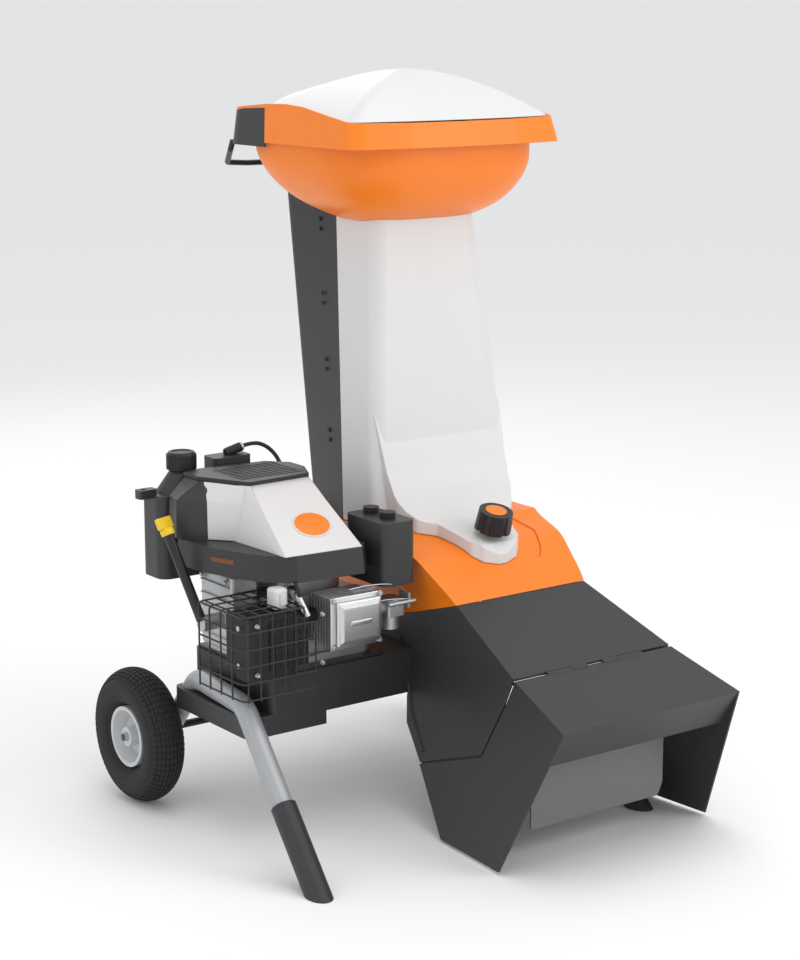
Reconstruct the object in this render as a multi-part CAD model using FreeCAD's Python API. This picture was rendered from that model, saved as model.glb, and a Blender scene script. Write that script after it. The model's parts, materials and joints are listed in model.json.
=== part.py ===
import FreeCAD, Part
import math
import os

# Petrol garden chipper.  Millimetres, +Z up, -Y is the discharge side, the feed opening faces +Y.
# The origin is on the ground, midway between the wheels and midway along the machine.

V = FreeCAD.Vector
X_AXIS, Y_AXIS, Z_AXIS = V(1, 0, 0), V(0, 1, 0), V(0, 0, 1)

# ---- driving dimensions -------------------------------------------------------------------
CX = 185.0                       # centre plane of the feed tower, rotor and chute
SKIN = 4.0                       # wall of the moulded plastic shells
GAP = 0.5                        # clearance between separate bodies

WHEEL_R, TYRE_SECTION_R = 140.0, 41.0
WHEEL_X, AXLE_Y = 421.0, 324.0
AXLE_R, AXLE_HALF = 8.0, 459.0
RIM_R = 63.0

TUBE_R, TUBE_WALL = 21.0, 2.5    # frame tube
FOOT_R, FOOT_TOP = 25.0, 131.0
RAIL_Z = 285.0

DECK_X, DECK_FRONT, DECK_BACK = 390.0, -47.0, 236.0
DECK_LOW, DECK_STEP_Z, DECK_SHOULDER, DECK_TOP = 220.0, 247.0, 262.0, 336.0
DECK_STEP_X, BLOCK_X = -210.0, 338.0
SHEET = 3.0                      # sheet steel

CRANK = V(-180, 95, 0)           # engine crankshaft axis
ROTOR = V(CX, 205, 0)            # rotor axis
BELT_Z, PULLEY_H = 292.0, 22.0
ENGINE_PULLEY_R, ROTOR_PULLEY_R = 45.0, 62.0
SHAFT_R = 12.5
FIT = 0.05                       # running clearance on the radius
PLATE_TOP = 341.0                # engine mounting plate

KINK = (-397.0, 360.0)           # hood hinge line, as (y, z)
SHOULDER = (-172.0, 451.0)       # where the black body meets the coloured cover
LIP = (-570.0, 304.0)            # front edge of the hood
BAND = (-515.0, 225.0)           # lower edge of the band under the lip
HOOD_FRONT, HOOD_BACK = (-440.0, 6.0), (-240.0, 6.0)
SEAM = [(-377.0, 310.0), (-329.0, 200.0), (-129.0, 128.0)]   # side seam, hood to body
SIDE_SEAM_BACK = (236.0, DECK_TOP + 1.0)
COVER_TOP, COVER_BACK = 563.0, 392.0
FLAP_AXIS, FLAP_TIP_Z = (-414.0, 214.0), 60.0
COVER_CURVE = [(-152.0, 469.0), (-104.0, 504.0), (-72.0, 526.0), (-20.0, 544.0), (31.0, COVER_TOP)]

TOWER_FOOT, TOWER_TOP = 565.0, 1290.0
HINGE = (362.0, 574.0)           # tower hinge, as (y, z)
KNOB_SEAT = V(CX, -76, 562)
KNOB_AXIS = V(0, -0.27, 0.963)
KNOB_R, KNOB_H = 38.0, 42.0
CAP_R = 22.0

DIP_LOW, DIP_TOP = V(-394, 112, 426), V(-422, 184, 588)   # ends of the dipstick tube
DIP_TUBE_R, DIP_BLADE = 10.0, 172.0
HEAD_X, HEAD_Z = -161.0, 432.0   # middle of the cylinder head
FLYWHEEL_R = 70.0
HOSE_R = 4.2

SKIRT_LOW, SKIRT_SIDE_TOP = 1333.0, 1414.0
DOME_BASE, DOME_RISE = 1385.0, 96.0


# ---- helpers --------------------------------------------------------------------------------
def rounded_wire(points, radius):
    """Closed wire through the points, every corner rounded by an arc."""
    edges, starts, ends, mids = [], [], [], []
    count = len(points)
    for i, corner in enumerate(points):
        to_prev = (points[i - 1] - corner).normalize()
        to_next = (points[(i + 1) % count] - corner).normalize()
        half = to_prev.getAngle(to_next) / 2
        room = 0.45 * min((points[i - 1] - corner).Length, (points[(i + 1) % count] - corner).Length)
        back = min(radius / math.tan(half), room)
        bisector = (to_prev + to_next).normalize()
        fillet = back * math.tan(half)
        mids.append(corner + bisector * (back / math.cos(half) - fillet))
        starts.append(corner + to_prev * back)
        ends.append(corner + to_next * back)
    for i in range(count):
        edges.append(Part.Arc(starts[i], mids[i], ends[i]).toShape())
        edges.append(Part.makeLine(ends[i], starts[(i + 1) % count]))
    return Part.Wire(edges)


def prism(points, direction, radius=0.0):
    """Solid swept from a flat outline along a vector."""
    wire = rounded_wire(points, radius) if radius else Part.makePolygon(points + points[:1])
    return Part.Face(wire).extrude(direction)


def side_prism(outline, half=400.0, radius=0.0):
    """Prism along X about the centre plane, from an outline of (y, z) pairs."""
    return prism([V(CX - half, y, z) for y, z in outline], V(2 * half, 0, 0), radius)


def plan_prism(outline, low, high, radius=0.0):
    return prism([V(x, y, low) for x, y in outline], V(0, 0, high - low), radius)


def box(x0, x1, y0, y1, z0, z1, radius=0.0):
    """Box between limits, its upright edges rounded."""
    if not radius:
        return Part.makeBox(x1 - x0, y1 - y0, z1 - z0, V(x0, y0, z0))
    return plan_prism([(x0, y0), (x1, y0), (x1, y1), (x0, y1)], z0, z1, radius)


def cylinder(radius, height, base, axis=Z_AXIS):
    return Part.makeCylinder(radius, height, base, axis)


def ring(outer, inner, height, base, axis=Z_AXIS):
    return cylinder(outer, height, base, axis).cut(cylinder(inner, height, base, axis))


def hexagon(across, height, base, axis=Z_AXIS):
    """Bolt head or nut."""
    side = axis.cross(X_AXIS if abs(axis.x) < 0.5 else Y_AXIS).normalize()
    corners = []
    for i in range(6):
        turn = FreeCAD.Rotation(axis, 60 * i)
        corners.append(base + turn.multVec(side) * (across / math.sqrt(3)))
    return prism(corners, V(axis) * height)


def join(*shapes):
    """One solid from touching shapes."""
    return shapes[0].multiFuse(list(shapes[1:])).removeSplitter()


def group(shapes):
    return Part.makeCompound(shapes)


def loft(wires, ruled=True):
    return Part.makeLoft(wires, True, ruled)


def oval_wire(half_x, front, back, z, power=2.6, count=28):
    """Smooth closed superellipse about the centre plane."""
    mid, half_y = (front + back) / 2, (back - front) / 2
    points = []
    for i in range(count):
        angle = 2 * math.pi * i / count
        c, s = math.cos(angle), math.sin(angle)
        x = CX + half_x * math.copysign(abs(c) ** (2 / power), c)
        points.append(V(x, mid + half_y * math.copysign(abs(s) ** (2 / power), s), z))
    curve = Part.BSplineCurve()
    curve.interpolate(points, PeriodicFlag=True)
    return Part.Wire(curve.toShape())


def turned(profile, centre, axis):
    """Solid of revolution; the profile is (radius, height) pairs along the axis."""
    shape = Part.Face(Part.makePolygon([V(r, 0, h) for r, h in profile + profile[:1]]))
    shape = shape.revolve(V(0, 0, 0), Z_AXIS, 360)
    shape.Placement = FreeCAD.Placement(centre, FreeCAD.Rotation(Z_AXIS, axis))
    return shape


def bent_path(points, label=None):
    """Wire of straight runs joined by tangent arcs, each as large as its runs allow."""
    edges, last = [], points[0]
    for before, corner, after in zip(points, points[1:], points[2:]):
        to_prev, to_next = (before - corner), (after - corner)
        reach = 0.45 * min(to_prev.Length, to_next.Length)
        to_prev.normalize()
        to_next.normalize()
        half = to_prev.getAngle(to_next) / 2
        radius = reach * math.tan(half)
        if label:
            print(label, "bend radius", round(radius, 1))
        start, end = corner + to_prev * reach, corner + to_next * reach
        bisector = (to_prev + to_next).normalize()
        middle = corner + bisector * (reach / math.cos(half) - radius)
        edges.append(Part.makeLine(last, start))
        edges.append(Part.Arc(start, middle, end).toShape())
        last = end
    edges.append(Part.makeLine(last, points[-1]))
    return Part.Wire(edges)


def rod(points, radius, label=None):
    """Round bar along a bent path."""
    path = bent_path(points, label)
    direction = (points[1] - points[0]).normalize()
    profile = Part.Wire(Part.makeCircle(radius, points[0], direction))
    return path.makePipeShell([profile], True, False)


def wedge(inset=0.0, low=-50.0, high=700.0):
    """Space between the two leaning side walls of the body and hood."""
    def corner(side, y, z):
        half = 237.2 - 0.0785 * y - 0.19 * z - inset
        return V(CX + side * half, y, z)
    rings = []
    for y in (-640.0, 450.0):
        rings.append(Part.makePolygon([corner(-1, y, low), corner(1, y, low), corner(1, y, high),
                                       corner(-1, y, high), corner(-1, y, low)]))
    return loft(rings)


# ---- wheels, axle and frame -----------------------------------------------------------------
def tyre(side):
    centre = V(side * WHEEL_X, AXLE_Y, WHEEL_R)
    carcass = Part.makeTorus(WHEEL_R - TYRE_SECTION_R, TYRE_SECTION_R, centre, X_AXIS)
    return carcass.cut(cylinder(RIM_R, 100, centre - X_AXIS * 50, X_AXIS))


def rim(side):
    inner_face, outer_face = -38.0, 30.0
    profile = [(AXLE_R + FIT, inner_face), (20, inner_face), (20, -6), (46, -14), (55, -31), (RIM_R, -31),
               (RIM_R, 31), (55, 31), (46, 2), (20, 6), (20, outer_face), (AXLE_R + FIT, outer_face)]
    return turned(profile, V(side * WHEEL_X, AXLE_Y, WHEEL_R), X_AXIS * side)


def axle():
    return cylinder(AXLE_R, 2 * AXLE_HALF, V(-AXLE_HALF, AXLE_Y, WHEEL_R), X_AXIS)


def frame_route(side):
    """Centre line of one bent leg: axle end, two rail bends, foot end.  The right leg stands inside the hood."""
    bend_x, foot_x = (384, 413.7) if side < 0 else (366, 378)
    return [V(side * 349, 332, 127), V(side * 362, 184, RAIL_Z),
            V(side * bend_x, -24, RAIL_Z), V(side * foot_x, -309, 12)]


def clear_of_tubes(shape):
    """Cut the openings that the two frame tubes pass through."""
    for side in (-1, 1):
        shape = shape.cut(leg_bar(frame_route(side), TUBE_R + 0.1))
    return shape


def leg_bar(points, radius, bend=60.0):
    """Bar with short-radius bends."""
    edges, last = [], points[0]
    for before, corner, after in zip(points, points[1:], points[2:]):
        to_prev = (before - corner).normalize()
        to_next = (after - corner).normalize()
        half = to_prev.getAngle(to_next) / 2
        reach = bend / math.tan(half)
        bisector = (to_prev + to_next).normalize()
        middle = corner + bisector * (reach / math.cos(half) - bend)
        start, end = corner + to_prev * reach, corner + to_next * reach
        edges += [Part.makeLine(last, start), Part.Arc(start, middle, end).toShape()]
        last = end
    edges.append(Part.makeLine(last, points[-1]))
    direction = (points[1] - points[0]).normalize()
    profile = Part.Wire(Part.makeCircle(radius, points[0], direction))
    return Part.Wire(edges).makePipeShell([profile], True, False)


def frame_tube(side):
    route = frame_route(side)
    tube = leg_bar(route, TUBE_R).cut(leg_bar(route, TUBE_R - TUBE_WALL))
    return tube.cut(axle())


def foot_bar(side, radius, low=-80.0):
    """Round bar along the lower leg, from the top of the foot sleeve down to the given height."""
    bend, end = frame_route(side)[2:]
    down = (end - bend).normalize()
    top = bend + down * ((bend.z - FOOT_TOP) / -down.z)
    stop = bend + down * ((bend.z - low) / -down.z)
    return cylinder(radius, (stop - top).Length, top, down)


def feet():
    sleeves = []
    for side in (-1, 1):
        body = foot_bar(side, FOOT_R).cut(foot_bar(side, TUBE_R, 12.0))
        sleeves.append(body.cut(box(-700, 700, -900, 0, -200, 0)))
    return group(sleeves)


def deck_outline(inset):
    low = box(-DECK_X + inset, DECK_X - inset, DECK_FRONT + inset, DECK_BACK - inset,
              DECK_LOW + SHEET, DECK_SHOULDER - inset, 20)
    top = box(-BLOCK_X + inset, BLOCK_X - inset, DECK_FRONT + inset, DECK_BACK - inset,
              DECK_SHOULDER - inset - 1, DECK_TOP - inset, 14)
    reach = ROTOR_PULLEY_R + 12 - inset
    bulge = box(ROTOR.x - reach - 64, ROTOR.x + reach, DECK_BACK - 30, ROTOR.y + reach,
                DECK_SHOULDER + inset, DECK_TOP - inset, 20)
    return join(low, top, bulge)


def under_step(low):
    """Space below the raised part of the deck."""
    return box(DECK_STEP_X, DECK_X + 10, DECK_FRONT - 10, DECK_BACK + 10, low - 60, low)


def deck_housing():
    shell = deck_outline(0).cut(deck_outline(SHEET)).cut(under_step(DECK_STEP_Z + SHEET))
    for centre, radius in ((CRANK, 24.0), (ROTOR, 30.0)):
        shell = shell.cut(cylinder(radius, 200, V(centre.x, centre.y, 280)))
    return clear_of_tubes(shell)


def belt_cover():
    """Stepped floor plate that closes the deck from below."""
    z0, z1 = DECK_LOW, DECK_STEP_Z
    outline = [(-DECK_X, z0), (DECK_STEP_X + SHEET, z0), (DECK_STEP_X + SHEET, z1), (DECK_X, z1),
               (DECK_X, z1 + SHEET), (DECK_STEP_X, z1 + SHEET), (DECK_STEP_X, z0 + SHEET),
               (-DECK_X, z0 + SHEET)]
    plate = prism([V(x, DECK_FRONT, z) for x, z in outline], V(0, DECK_BACK - DECK_FRONT, 0))
    return clear_of_tubes(plate.common(box(-DECK_X, DECK_X, DECK_FRONT, DECK_BACK, 0, 400, 20)))


def engine_plate():
    plate = box(-334, -62, DECK_FRONT + 3, DECK_BACK - 6, DECK_TOP, PLATE_TOP, 10)
    return plate.cut(cylinder(24, 50, V(CRANK.x, CRANK.y, 320)))


# ---- body, cover, hood and flap --------------------------------------------------------------
def chute_body():
    seam = [SHOULDER, (-27.0, 405.0), SIDE_SEAM_BACK]
    outline = [KINK] + seam + [(DECK_FRONT - 1, DECK_TOP + 1), (DECK_FRONT - 1, 240), (-62, 190)]
    outline += [SEAM[2], SEAM[1], SEAM[0]]
    outline[0] = (KINK[0] + 4.5, KINK[1] + 1.8)
    solid = side_prism(outline)
    shell = solid.common(wedge()).cut(wedge(SKIN))
    roof = side_prism([outline[0], SHOULDER, (SHOULDER[0] + 2, SHOULDER[1] - 5), (KINK[0] + 6, KINK[1] - 3.4)])
    barrels = knuckles(((-59, -20), (20, 59)), 6.5, (KINK[0] + 16, KINK[1] + 2))
    axis = hood_hinge_axis()
    swing_room = cylinder(4.6, 600, V(CX - 300, axis.y, axis.z), X_AXIS)
    body = join(join(shell, roof.common(wedge())).cut(swing_room), *barrels)
    body = join(body, *seam_lips()).cut(foot_bar(1, FOOT_R + GAP))
    for start in (-120, 60):
        body = body.cut(cylinder(7.3, 61, V(CX + start - 0.5, axis.y, axis.z), X_AXIS))
    return clear_of_tubes(body.cut(cylinder(3.0 + FIT, 160, V(CX - 80, axis.y, axis.z), X_AXIS)))


def seam_lips():
    """Inner lips that close the view through the gap between body and hood."""
    lip = [(-374, 306), (-326, 198), (-129, 126.5), (-133, 116), (-337, 190), (-386, 300)]
    zone = side_prism(lip).common(wedge(SKIN + 0.8)).cut(wedge(SKIN + 3.4))
    root = side_prism([(-371, 309), (-322, 201), (-129, 130), (-129, 126), (-326, 197), (-375, 305)])
    return [zone, root.common(wedge(SKIN - 1)).cut(wedge(SKIN + 3.4))]


def cover_width(inset, grow=0.0):
    outline = [(161, 330), (161, 405), (166, 451), (200, COVER_TOP + grow)]
    points = [V(CX - half + inset, -300, z) for half, z in outline]
    points += [V(CX + half - inset, -300, z) for half, z in reversed(outline)]
    return prism(points, V(0, 800, 0))


def roof_edge(inset=0.0):
    """Smooth roof line of the cover from its front edge to its flat top, as one spline edge."""
    points = [(SHOULDER[0], SHOULDER[1] + 0.6)] + COVER_CURVE
    curve = Part.BSplineCurve()
    curve.interpolate([V(CX - 400, y + 0.8 * inset, z - inset) for y, z in points])
    return curve.toShape()


def cover_solid(inset=0.0):
    """Outline of the cover swept across; the inset moves its roof and rear wall inwards."""
    roof = roof_edge(inset)
    front, top = roof.Vertexes[0].Point, roof.Vertexes[-1].Point
    low = 300 if inset > 0 else DECK_TOP + 2
    rest = [V(top), V(CX - 400, COVER_BACK - inset, COVER_TOP - inset), V(CX - 400, COVER_BACK - inset, low)]
    if inset <= 0:
        rest += [V(CX - 400, SIDE_SEAM_BACK[0], low), V(CX - 400, -27, 405.6)]
    else:
        rest += [V(CX - 400, SHOULDER[0] + 5, low)]
    rest.append(V(front))
    lines = [Part.makeLine(a, b) for a, b in zip(rest, rest[1:])]
    swept = Part.Face(Part.Wire([roof] + lines)).extrude(V(800, 0, 0))
    return swept.common(cover_width(inset, max(0.0, -inset)))


def cover_pocket():
    """Shallow recess in the roof beside the lock knob."""
    plan = [(262, -104), (284, -112), (302, -92), (326, -40), (312, 16), (290, 12), (266, -40)]
    return plan_prism(plan, 450, 600, 12).common(cover_solid()).cut(cover_solid(2.2))


def base_cover():
    shell = cover_solid().cut(cover_solid(SKIN)).cut(cover_pocket())
    return shell.cut(box(CX - 150, CX + 150, 100, 344, 500, 600, 30))


def hood_hinge_axis():
    return V(CX, KINK[0] + 1, KINK[1] - 4)


def knuckles(spans, radius, arm_end):
    """Hinge barrels on the hood line, each with a web to the panel it belongs to."""
    axis = hood_hinge_axis()
    parts = []
    for start, end in spans:
        barrel = cylinder(radius, end - start, V(CX + start, axis.y, axis.z), X_AXIS)
        web = prism([V(CX + start, axis.y, axis.z - 3), V(CX + start, axis.y, axis.z + 3),
                     V(CX + start, arm_end[0], arm_end[1] + 1), V(CX + start, arm_end[0], arm_end[1] - 4)],
                    V(end - start, 0, 0))
        parts.append(barrel.fuse(web))
    return parts


def discharge_hood():
    outline = [(KINK[0] - 1.5, KINK[1] - 1), LIP, HOOD_FRONT, HOOD_BACK, (SEAM[2][0], SEAM[2][1] - 4)]
    outline += [(SEAM[1][0] - 2, SEAM[1][1] - 5), (SEAM[0][0] - 4, SEAM[0][1] - 2)]
    shell = side_prism(outline).common(wedge()).cut(wedge(SKIN))
    roof = side_prism([(KINK[0] - 1.5, KINK[1] - 1), LIP, (LIP[0] + 4, LIP[1] - 4), (KINK[0] - 1.5, KINK[1] - 5.5)])
    band = side_prism([LIP, BAND, (BAND[0] + 4.5, BAND[1] + 2), (LIP[0] + 6, LIP[1] - 1)])
    hanger = [(FLAP_AXIS[0] - 8, FLAP_AXIS[1] - 10), (FLAP_AXIS[0] + 8, FLAP_AXIS[1] - 10),
              (FLAP_AXIS[0] + 12, 356), (FLAP_AXIS[0] - 12, 349)]
    hangers = []
    for x in (-176, 172):
        hangers.append(prism([V(CX + x, y, z) for y, z in hanger], V(4, 0, 0)))
    barrels = knuckles(((-120, -60), (60, 120)), 6.5, (KINK[0] - 14, KINK[1] - 9))
    body = join(shell, roof.common(wedge()), band.common(wedge()), *hangers, *barrels)
    axis = hood_hinge_axis()
    for start in (-59, 20):
        body = body.cut(cylinder(7.3, 40, V(CX + start - 0.5, axis.y, axis.z), X_AXIS))
    body = body.cut(cylinder(3.0, 400, V(CX - 200, axis.y, axis.z), X_AXIS))
    return body.cut(cylinder(4.0, 400, V(CX - 200, FLAP_AXIS[0], FLAP_AXIS[1]), X_AXIS))


def flap():
    """Swinging deflector plate with its own hinge tube."""
    y, z = FLAP_AXIS
    tube = ring(7, 4.0 + FIT, 340, V(CX - 170, y, z), X_AXIS)
    corners = [V(CX - 171, y - 2, z - 5), V(CX - 171, y - 2, FLAP_TIP_Z), V(CX + 158, y - 2, FLAP_TIP_Z),
               V(CX + 170, y - 2, FLAP_TIP_Z + 26), V(CX + 170, y - 2, z - 5)]
    return tube.fuse(prism(corners, V(0, 4, 0), 8)).removeSplitter()


def hood_pins():
    axis = hood_hinge_axis()
    hinge_pin = cylinder(3.0, 250, V(CX - 125, axis.y, axis.z), X_AXIS)
    return group([hinge_pin, cylinder(4.0, 356, V(CX - 178, FLAP_AXIS[0], FLAP_AXIS[1]), X_AXIS)])


# ---- cutting unit ------------------------------------------------------------------------------
def rotor_housing():
    wall = ring(138, 134, 142, V(ROTOR.x, ROTOR.y, 400))
    floor = ring(138, 40, 4, V(ROTOR.x, ROTOR.y, 397))
    flange = ring(149, 134, 4, V(ROTOR.x, ROTOR.y, 538))
    window = box(CX - 95, CX + 95, 0, ROTOR.y - 20, 405, 470)
    return join(wall, floor, flange).cut(window)


def bearing_housing():
    profile = [(26, DECK_TOP), (72, DECK_TOP), (72, 344), (38, 350), (38, 390), (70, 397), (26, 397)]
    return turned(profile, V(ROTOR.x, ROTOR.y, 0), Z_AXIS)


def rotor_bearings():
    return group([ring(26, SHAFT_R + FIT, 15, V(ROTOR.x, ROTOR.y, z)) for z in (344, 378)])


def pulley(centre, radius, bore):
    """V-belt pulley with a hub."""
    low, high = BELT_Z - PULLEY_H / 2, BELT_Z + PULLEY_H / 2
    profile = [(bore, low), (radius + 6, low), (radius + 6, low + 3), (radius - 7, BELT_Z - 3),
               (radius - 7, BELT_Z + 3), (radius + 6, high - 3), (radius + 6, high), (bore, high)]
    return turned(profile, V(centre.x, centre.y, 0), Z_AXIS)


def belt_loop(grow, half_height):
    """Solid inside a belt line that passes round both pulleys."""
    offset = V(ROTOR.x - CRANK.x, ROTOR.y - CRANK.y, 0)
    lean = math.asin((ROTOR_PULLEY_R - ENGINE_PULLEY_R) / offset.Length)
    heading = math.atan2(offset.y, offset.x)
    corners = []
    for centre, radius, sign in ((CRANK, ENGINE_PULLEY_R, 1), (ROTOR, ROTOR_PULLEY_R, 1),
                                 (ROTOR, ROTOR_PULLEY_R, -1), (CRANK, ENGINE_PULLEY_R, -1)):
        angle = heading + sign * (math.pi / 2 + lean)
        reach = radius + grow
        corners.append((centre.x + reach * math.cos(angle), centre.y + reach * math.sin(angle)))
    base = BELT_Z - half_height
    shape = plan_prism(corners, base, base + 2 * half_height)
    for centre, radius in ((CRANK, ENGINE_PULLEY_R), (ROTOR, ROTOR_PULLEY_R)):
        shape = shape.fuse(cylinder(radius + grow, 2 * half_height, V(centre.x, centre.y, base)))
    return shape.removeSplitter()


def drive_belt():
    return belt_loop(5, 4).cut(belt_loop(-2, 4))


def rotor_shaft():
    return turned([(0, 268), (SHAFT_R, 268), (SHAFT_R, 440), (18, 440), (18, 450), (SHAFT_R, 450),
                   (SHAFT_R, 470), (0, 470)], V(ROTOR.x, ROTOR.y, 0), Z_AXIS)


def blade_disc():
    """Disc with ejection paddles below it."""
    disc = ring(122, 18, 8, V(ROTOR.x, ROTOR.y, 441))
    paddles = []
    for i in range(4):
        paddle = box(ROTOR.x + 45, ROTOR.x + 118, ROTOR.y - 3, ROTOR.y + 3, 408, 442)
        paddle.rotate(V(ROTOR.x, ROTOR.y, 0), Z_AXIS, 45 + 90 * i)
        paddles.append(paddle)
    return join(disc, *paddles)


def knives():
    """Two chipping knives and two upright shredding knives on the disc."""
    blades = []
    for i in range(2):
        blade = box(ROTOR.x + 34, ROTOR.x + 116, ROTOR.y - 22, ROTOR.y + 18, 449, 454)
        blade = blade.cut(box(ROTOR.x + 34, ROTOR.x + 60, ROTOR.y - 22, ROTOR.y - 12, 448, 455))
        blade.rotate(V(ROTOR.x, ROTOR.y, 0), Z_AXIS, 180 * i)
        wing = box(ROTOR.x + 40, ROTOR.x + 96, ROTOR.y - 3, ROTOR.y + 3, 449, 486)
        wing.rotate(V(ROTOR.x, ROTOR.y, 0), Z_AXIS, 90 + 180 * i)
        blades += [blade, wing]
    return group(blades)


# ---- engine --------------------------------------------------------------------------------------
COWL_LOW, BAND_TOP, CROWN_MID, GRILLE_Z = 522.0, 574.0, 651.0, 688.0
COWL_PLAN = [(-394, 206), (-386, 114), (-360, 34), (-332, -24), (-283, -65), (-136, -79), (-106, -45),
             (-100, 60), (-100, 200), (-150, 258), (-350, 258)]
SHROUD_BASE = [(-392, 206), (-312, 110), (-305, -56), (-137, -68), (-112, 50), (-114, 190),
               (-158, 244), (-300, 256), (-384, 250)]
SHROUD_MID = [(-390, 206), (-302, 98), (-297, 40), (-148, 42), (-120, 118), (-122, 197), (-159, 241),
              (-302, 256), (-380, 250)]
SHROUD_TOP = [(-346, 190), (-298, 92), (-292, 86), (-152, 92), (-124, 150), (-124, 200), (-160, 240),
              (-303, 254), (-344, 246)]


def scaled(outline, factor, centre=(-225, 95)):
    return [(centre[0] + (x - centre[0]) * factor, centre[1] + (y - centre[1]) * factor)
            for x, y in outline]


def flat_wire(outline, z):
    points = [V(x, y, z) for x, y in outline]
    return Part.makePolygon(points + points[:1])


def shroud_solid(inset):
    """Faceted crown of the blower housing; the inset moves every facet inwards."""
    wires = []
    for outline, z in ((SHROUD_BASE, BAND_TOP - 0.5), (SHROUD_MID, CROWN_MID), (SHROUD_TOP, GRILLE_Z)):
        wires.append(flat_wire(scaled(outline, 1 - inset / 100), z))
    return loft(wires)


def cowl():
    """Blower housing: a straight band below and a faceted crown above, open underneath."""
    band = loft([flat_wire(COWL_PLAN, COWL_LOW), flat_wire(scaled(COWL_PLAN, 0.975), BAND_TOP)])
    hollow = loft([flat_wire(scaled(COWL_PLAN, 0.97), COWL_LOW), flat_wire(scaled(COWL_PLAN, 0.95), BAND_TOP - 3)])
    inner = shroud_solid(5).common(box(-500, 0, -200, 400, BAND_TOP - 4, GRILLE_Z - 4))
    mouth = plan_prism(scaled(SHROUD_BASE, 0.90), BAND_TOP - 6, BAND_TOP + 2)
    throat = cylinder(62, 200, V(CRANK.x - 40, CRANK.y + 65, 600))
    return join(band.cut(hollow), shroud_solid(0).cut(inner)).cut(inner).cut(mouth).cut(throat)


def shroud_panel():
    """Light cover plate over the front and left facets of the crown."""
    skin = shroud_solid(-2.4).cut(shroud_solid(-0.3))
    keep = plan_prism([(-420, 128), (-335, 128), (-300, 101), (-150, 104), (-100, -30), (-100, -140), (-420, -140)],
                      BAND_TOP + 0.5, GRILLE_Z + 0.2)
    panel = skin.common(keep)
    return max(panel.Solids, key=lambda s: s.Volume)


def top_grille():
    """Flat louvred plate on the crown."""
    plate = plan_prism(scaled(SHROUD_TOP, 1.02), GRILLE_Z + 0.6, GRILLE_Z + 8)
    for i in range(9):
        plate = plate.cut(box(-296, -150, 112 + 13 * i, 118 + 13 * i, GRILLE_Z, GRILLE_Z + 20))
    return plate


def crankcase():
    base = box(-330, -70, -18, 212, PLATE_TOP, 356, 26)
    block = box(-286, -88, -4, 198, 356, 470, 30)
    neck = box(-258, -112, 20, 180, 470, 512, 36)
    boss = cylinder(16, 122, V(-274, DIP_LOW.y, DIP_LOW.z - 6), V(-1, 0, 0))
    bore = cylinder(SHAFT_R + 2 + FIT, 300, V(CRANK.x, CRANK.y, 300))
    seat = cylinder(DIP_TUBE_R, 260, DIP_LOW, DIP_TOP - DIP_LOW)
    return join(base, block, neck, boss).cut(bore).cut(seat)


def cylinder_block():
    """Finned cylinder and head, lying forward."""
    x_mid, z_mid = HEAD_X, HEAD_Z
    core = box(x_mid - 42, x_mid + 42, -74, -4, z_mid - 42, z_mid + 42)
    fins = []
    for i in range(7):
        y = -70 + 9.5 * i
        fins.append(box(x_mid - 56, x_mid + 56, y, y + 3, z_mid - 52, z_mid + 50))
    head = box(x_mid - 56, x_mid + 56, -80, -74, z_mid - 50, z_mid + 50)
    return join(core, head, *fins)


def valve_cover():
    x_mid, z_mid = HEAD_X, HEAD_Z
    flange = prism([V(x_mid + sx * 61, -86, z_mid + sz * 53) for sx, sz in
                    ((-1, -1), (1, -1), (1, 1), (-1, 1))], V(0, 6, 0), 12)
    dome = loft([rounded_wire([V(x_mid + sx * w, y, z_mid + sz * h) for sx, sz in
                               ((-1, -1), (1, -1), (1, 1), (-1, 1))], 14)
                 for w, h, y in ((53, 45, -86), (50, 42, -104))])
    return join(flange, dome)


def muffler():
    front = box(-400, -296, -76, -20, 344, 466, 10)
    rear = box(-400, -296, -34, 18, 358, 466, 10)
    louvres = [box(-388, -310, -66 + 15 * i, -60 + 15 * i, 465, 469) for i in range(5)]
    pipe = cylinder(13, 78, V(-297, -24, 440), V(1, 0, 0))
    return join(front, rear, pipe, *louvres)


def muffler_guard():
    """Basket of welded wire round the muffler, hung over the front edge of the deck."""
    wire = 1.9
    left, right, front, back, low, high = -430, -264, -96, 62, 318, 482
    shoulder = -290
    bars = []
    for z in (318, 351, 384, 417, 450):
        bars.append(box(left, right, front - wire, front + wire, z - wire, z + wire))
        bars.append(box(left - wire, left + wire, front, back, z - wire, z + wire))
    bars.append(box(left, shoulder, front - wire, front + wire, high - wire, high + wire))
    bars.append(box(left - wire, left + wire, front, back, high - wire, high + wire))
    for x in (left, -402, -374, -346, -318, shoulder):
        bars.append(box(x - wire, x + wire, front - wire, front + wire, low - 4, high + wire))
        bars.append(box(x - wire, x + wire, front, back, high - wire, high + wire))
    bars.append(box(right - wire, right + wire, front - wire, front + wire, low - 4, 450 + wire))
    for y in (-57, -17, 23, back):
        bars.append(box(left - wire, left + wire, y - wire, y + wire, low - 4, high + wire))
        bars.append(box(left, shoulder, y - wire, y + wire, high - wire, high + wire))
    return join(*bars)


def spark_plug_boot():
    """Metal plug shield lying across the cylinder, with the rubber elbow at its top."""
    start = V(-284, -56, 502)
    shield = cylinder(9, 52, start, V(15, -16, -46))
    elbow = cylinder(12, 22, start + V(-2, 12, 1), V(0, -1, -0.2))
    return join(shield, elbow)


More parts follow.
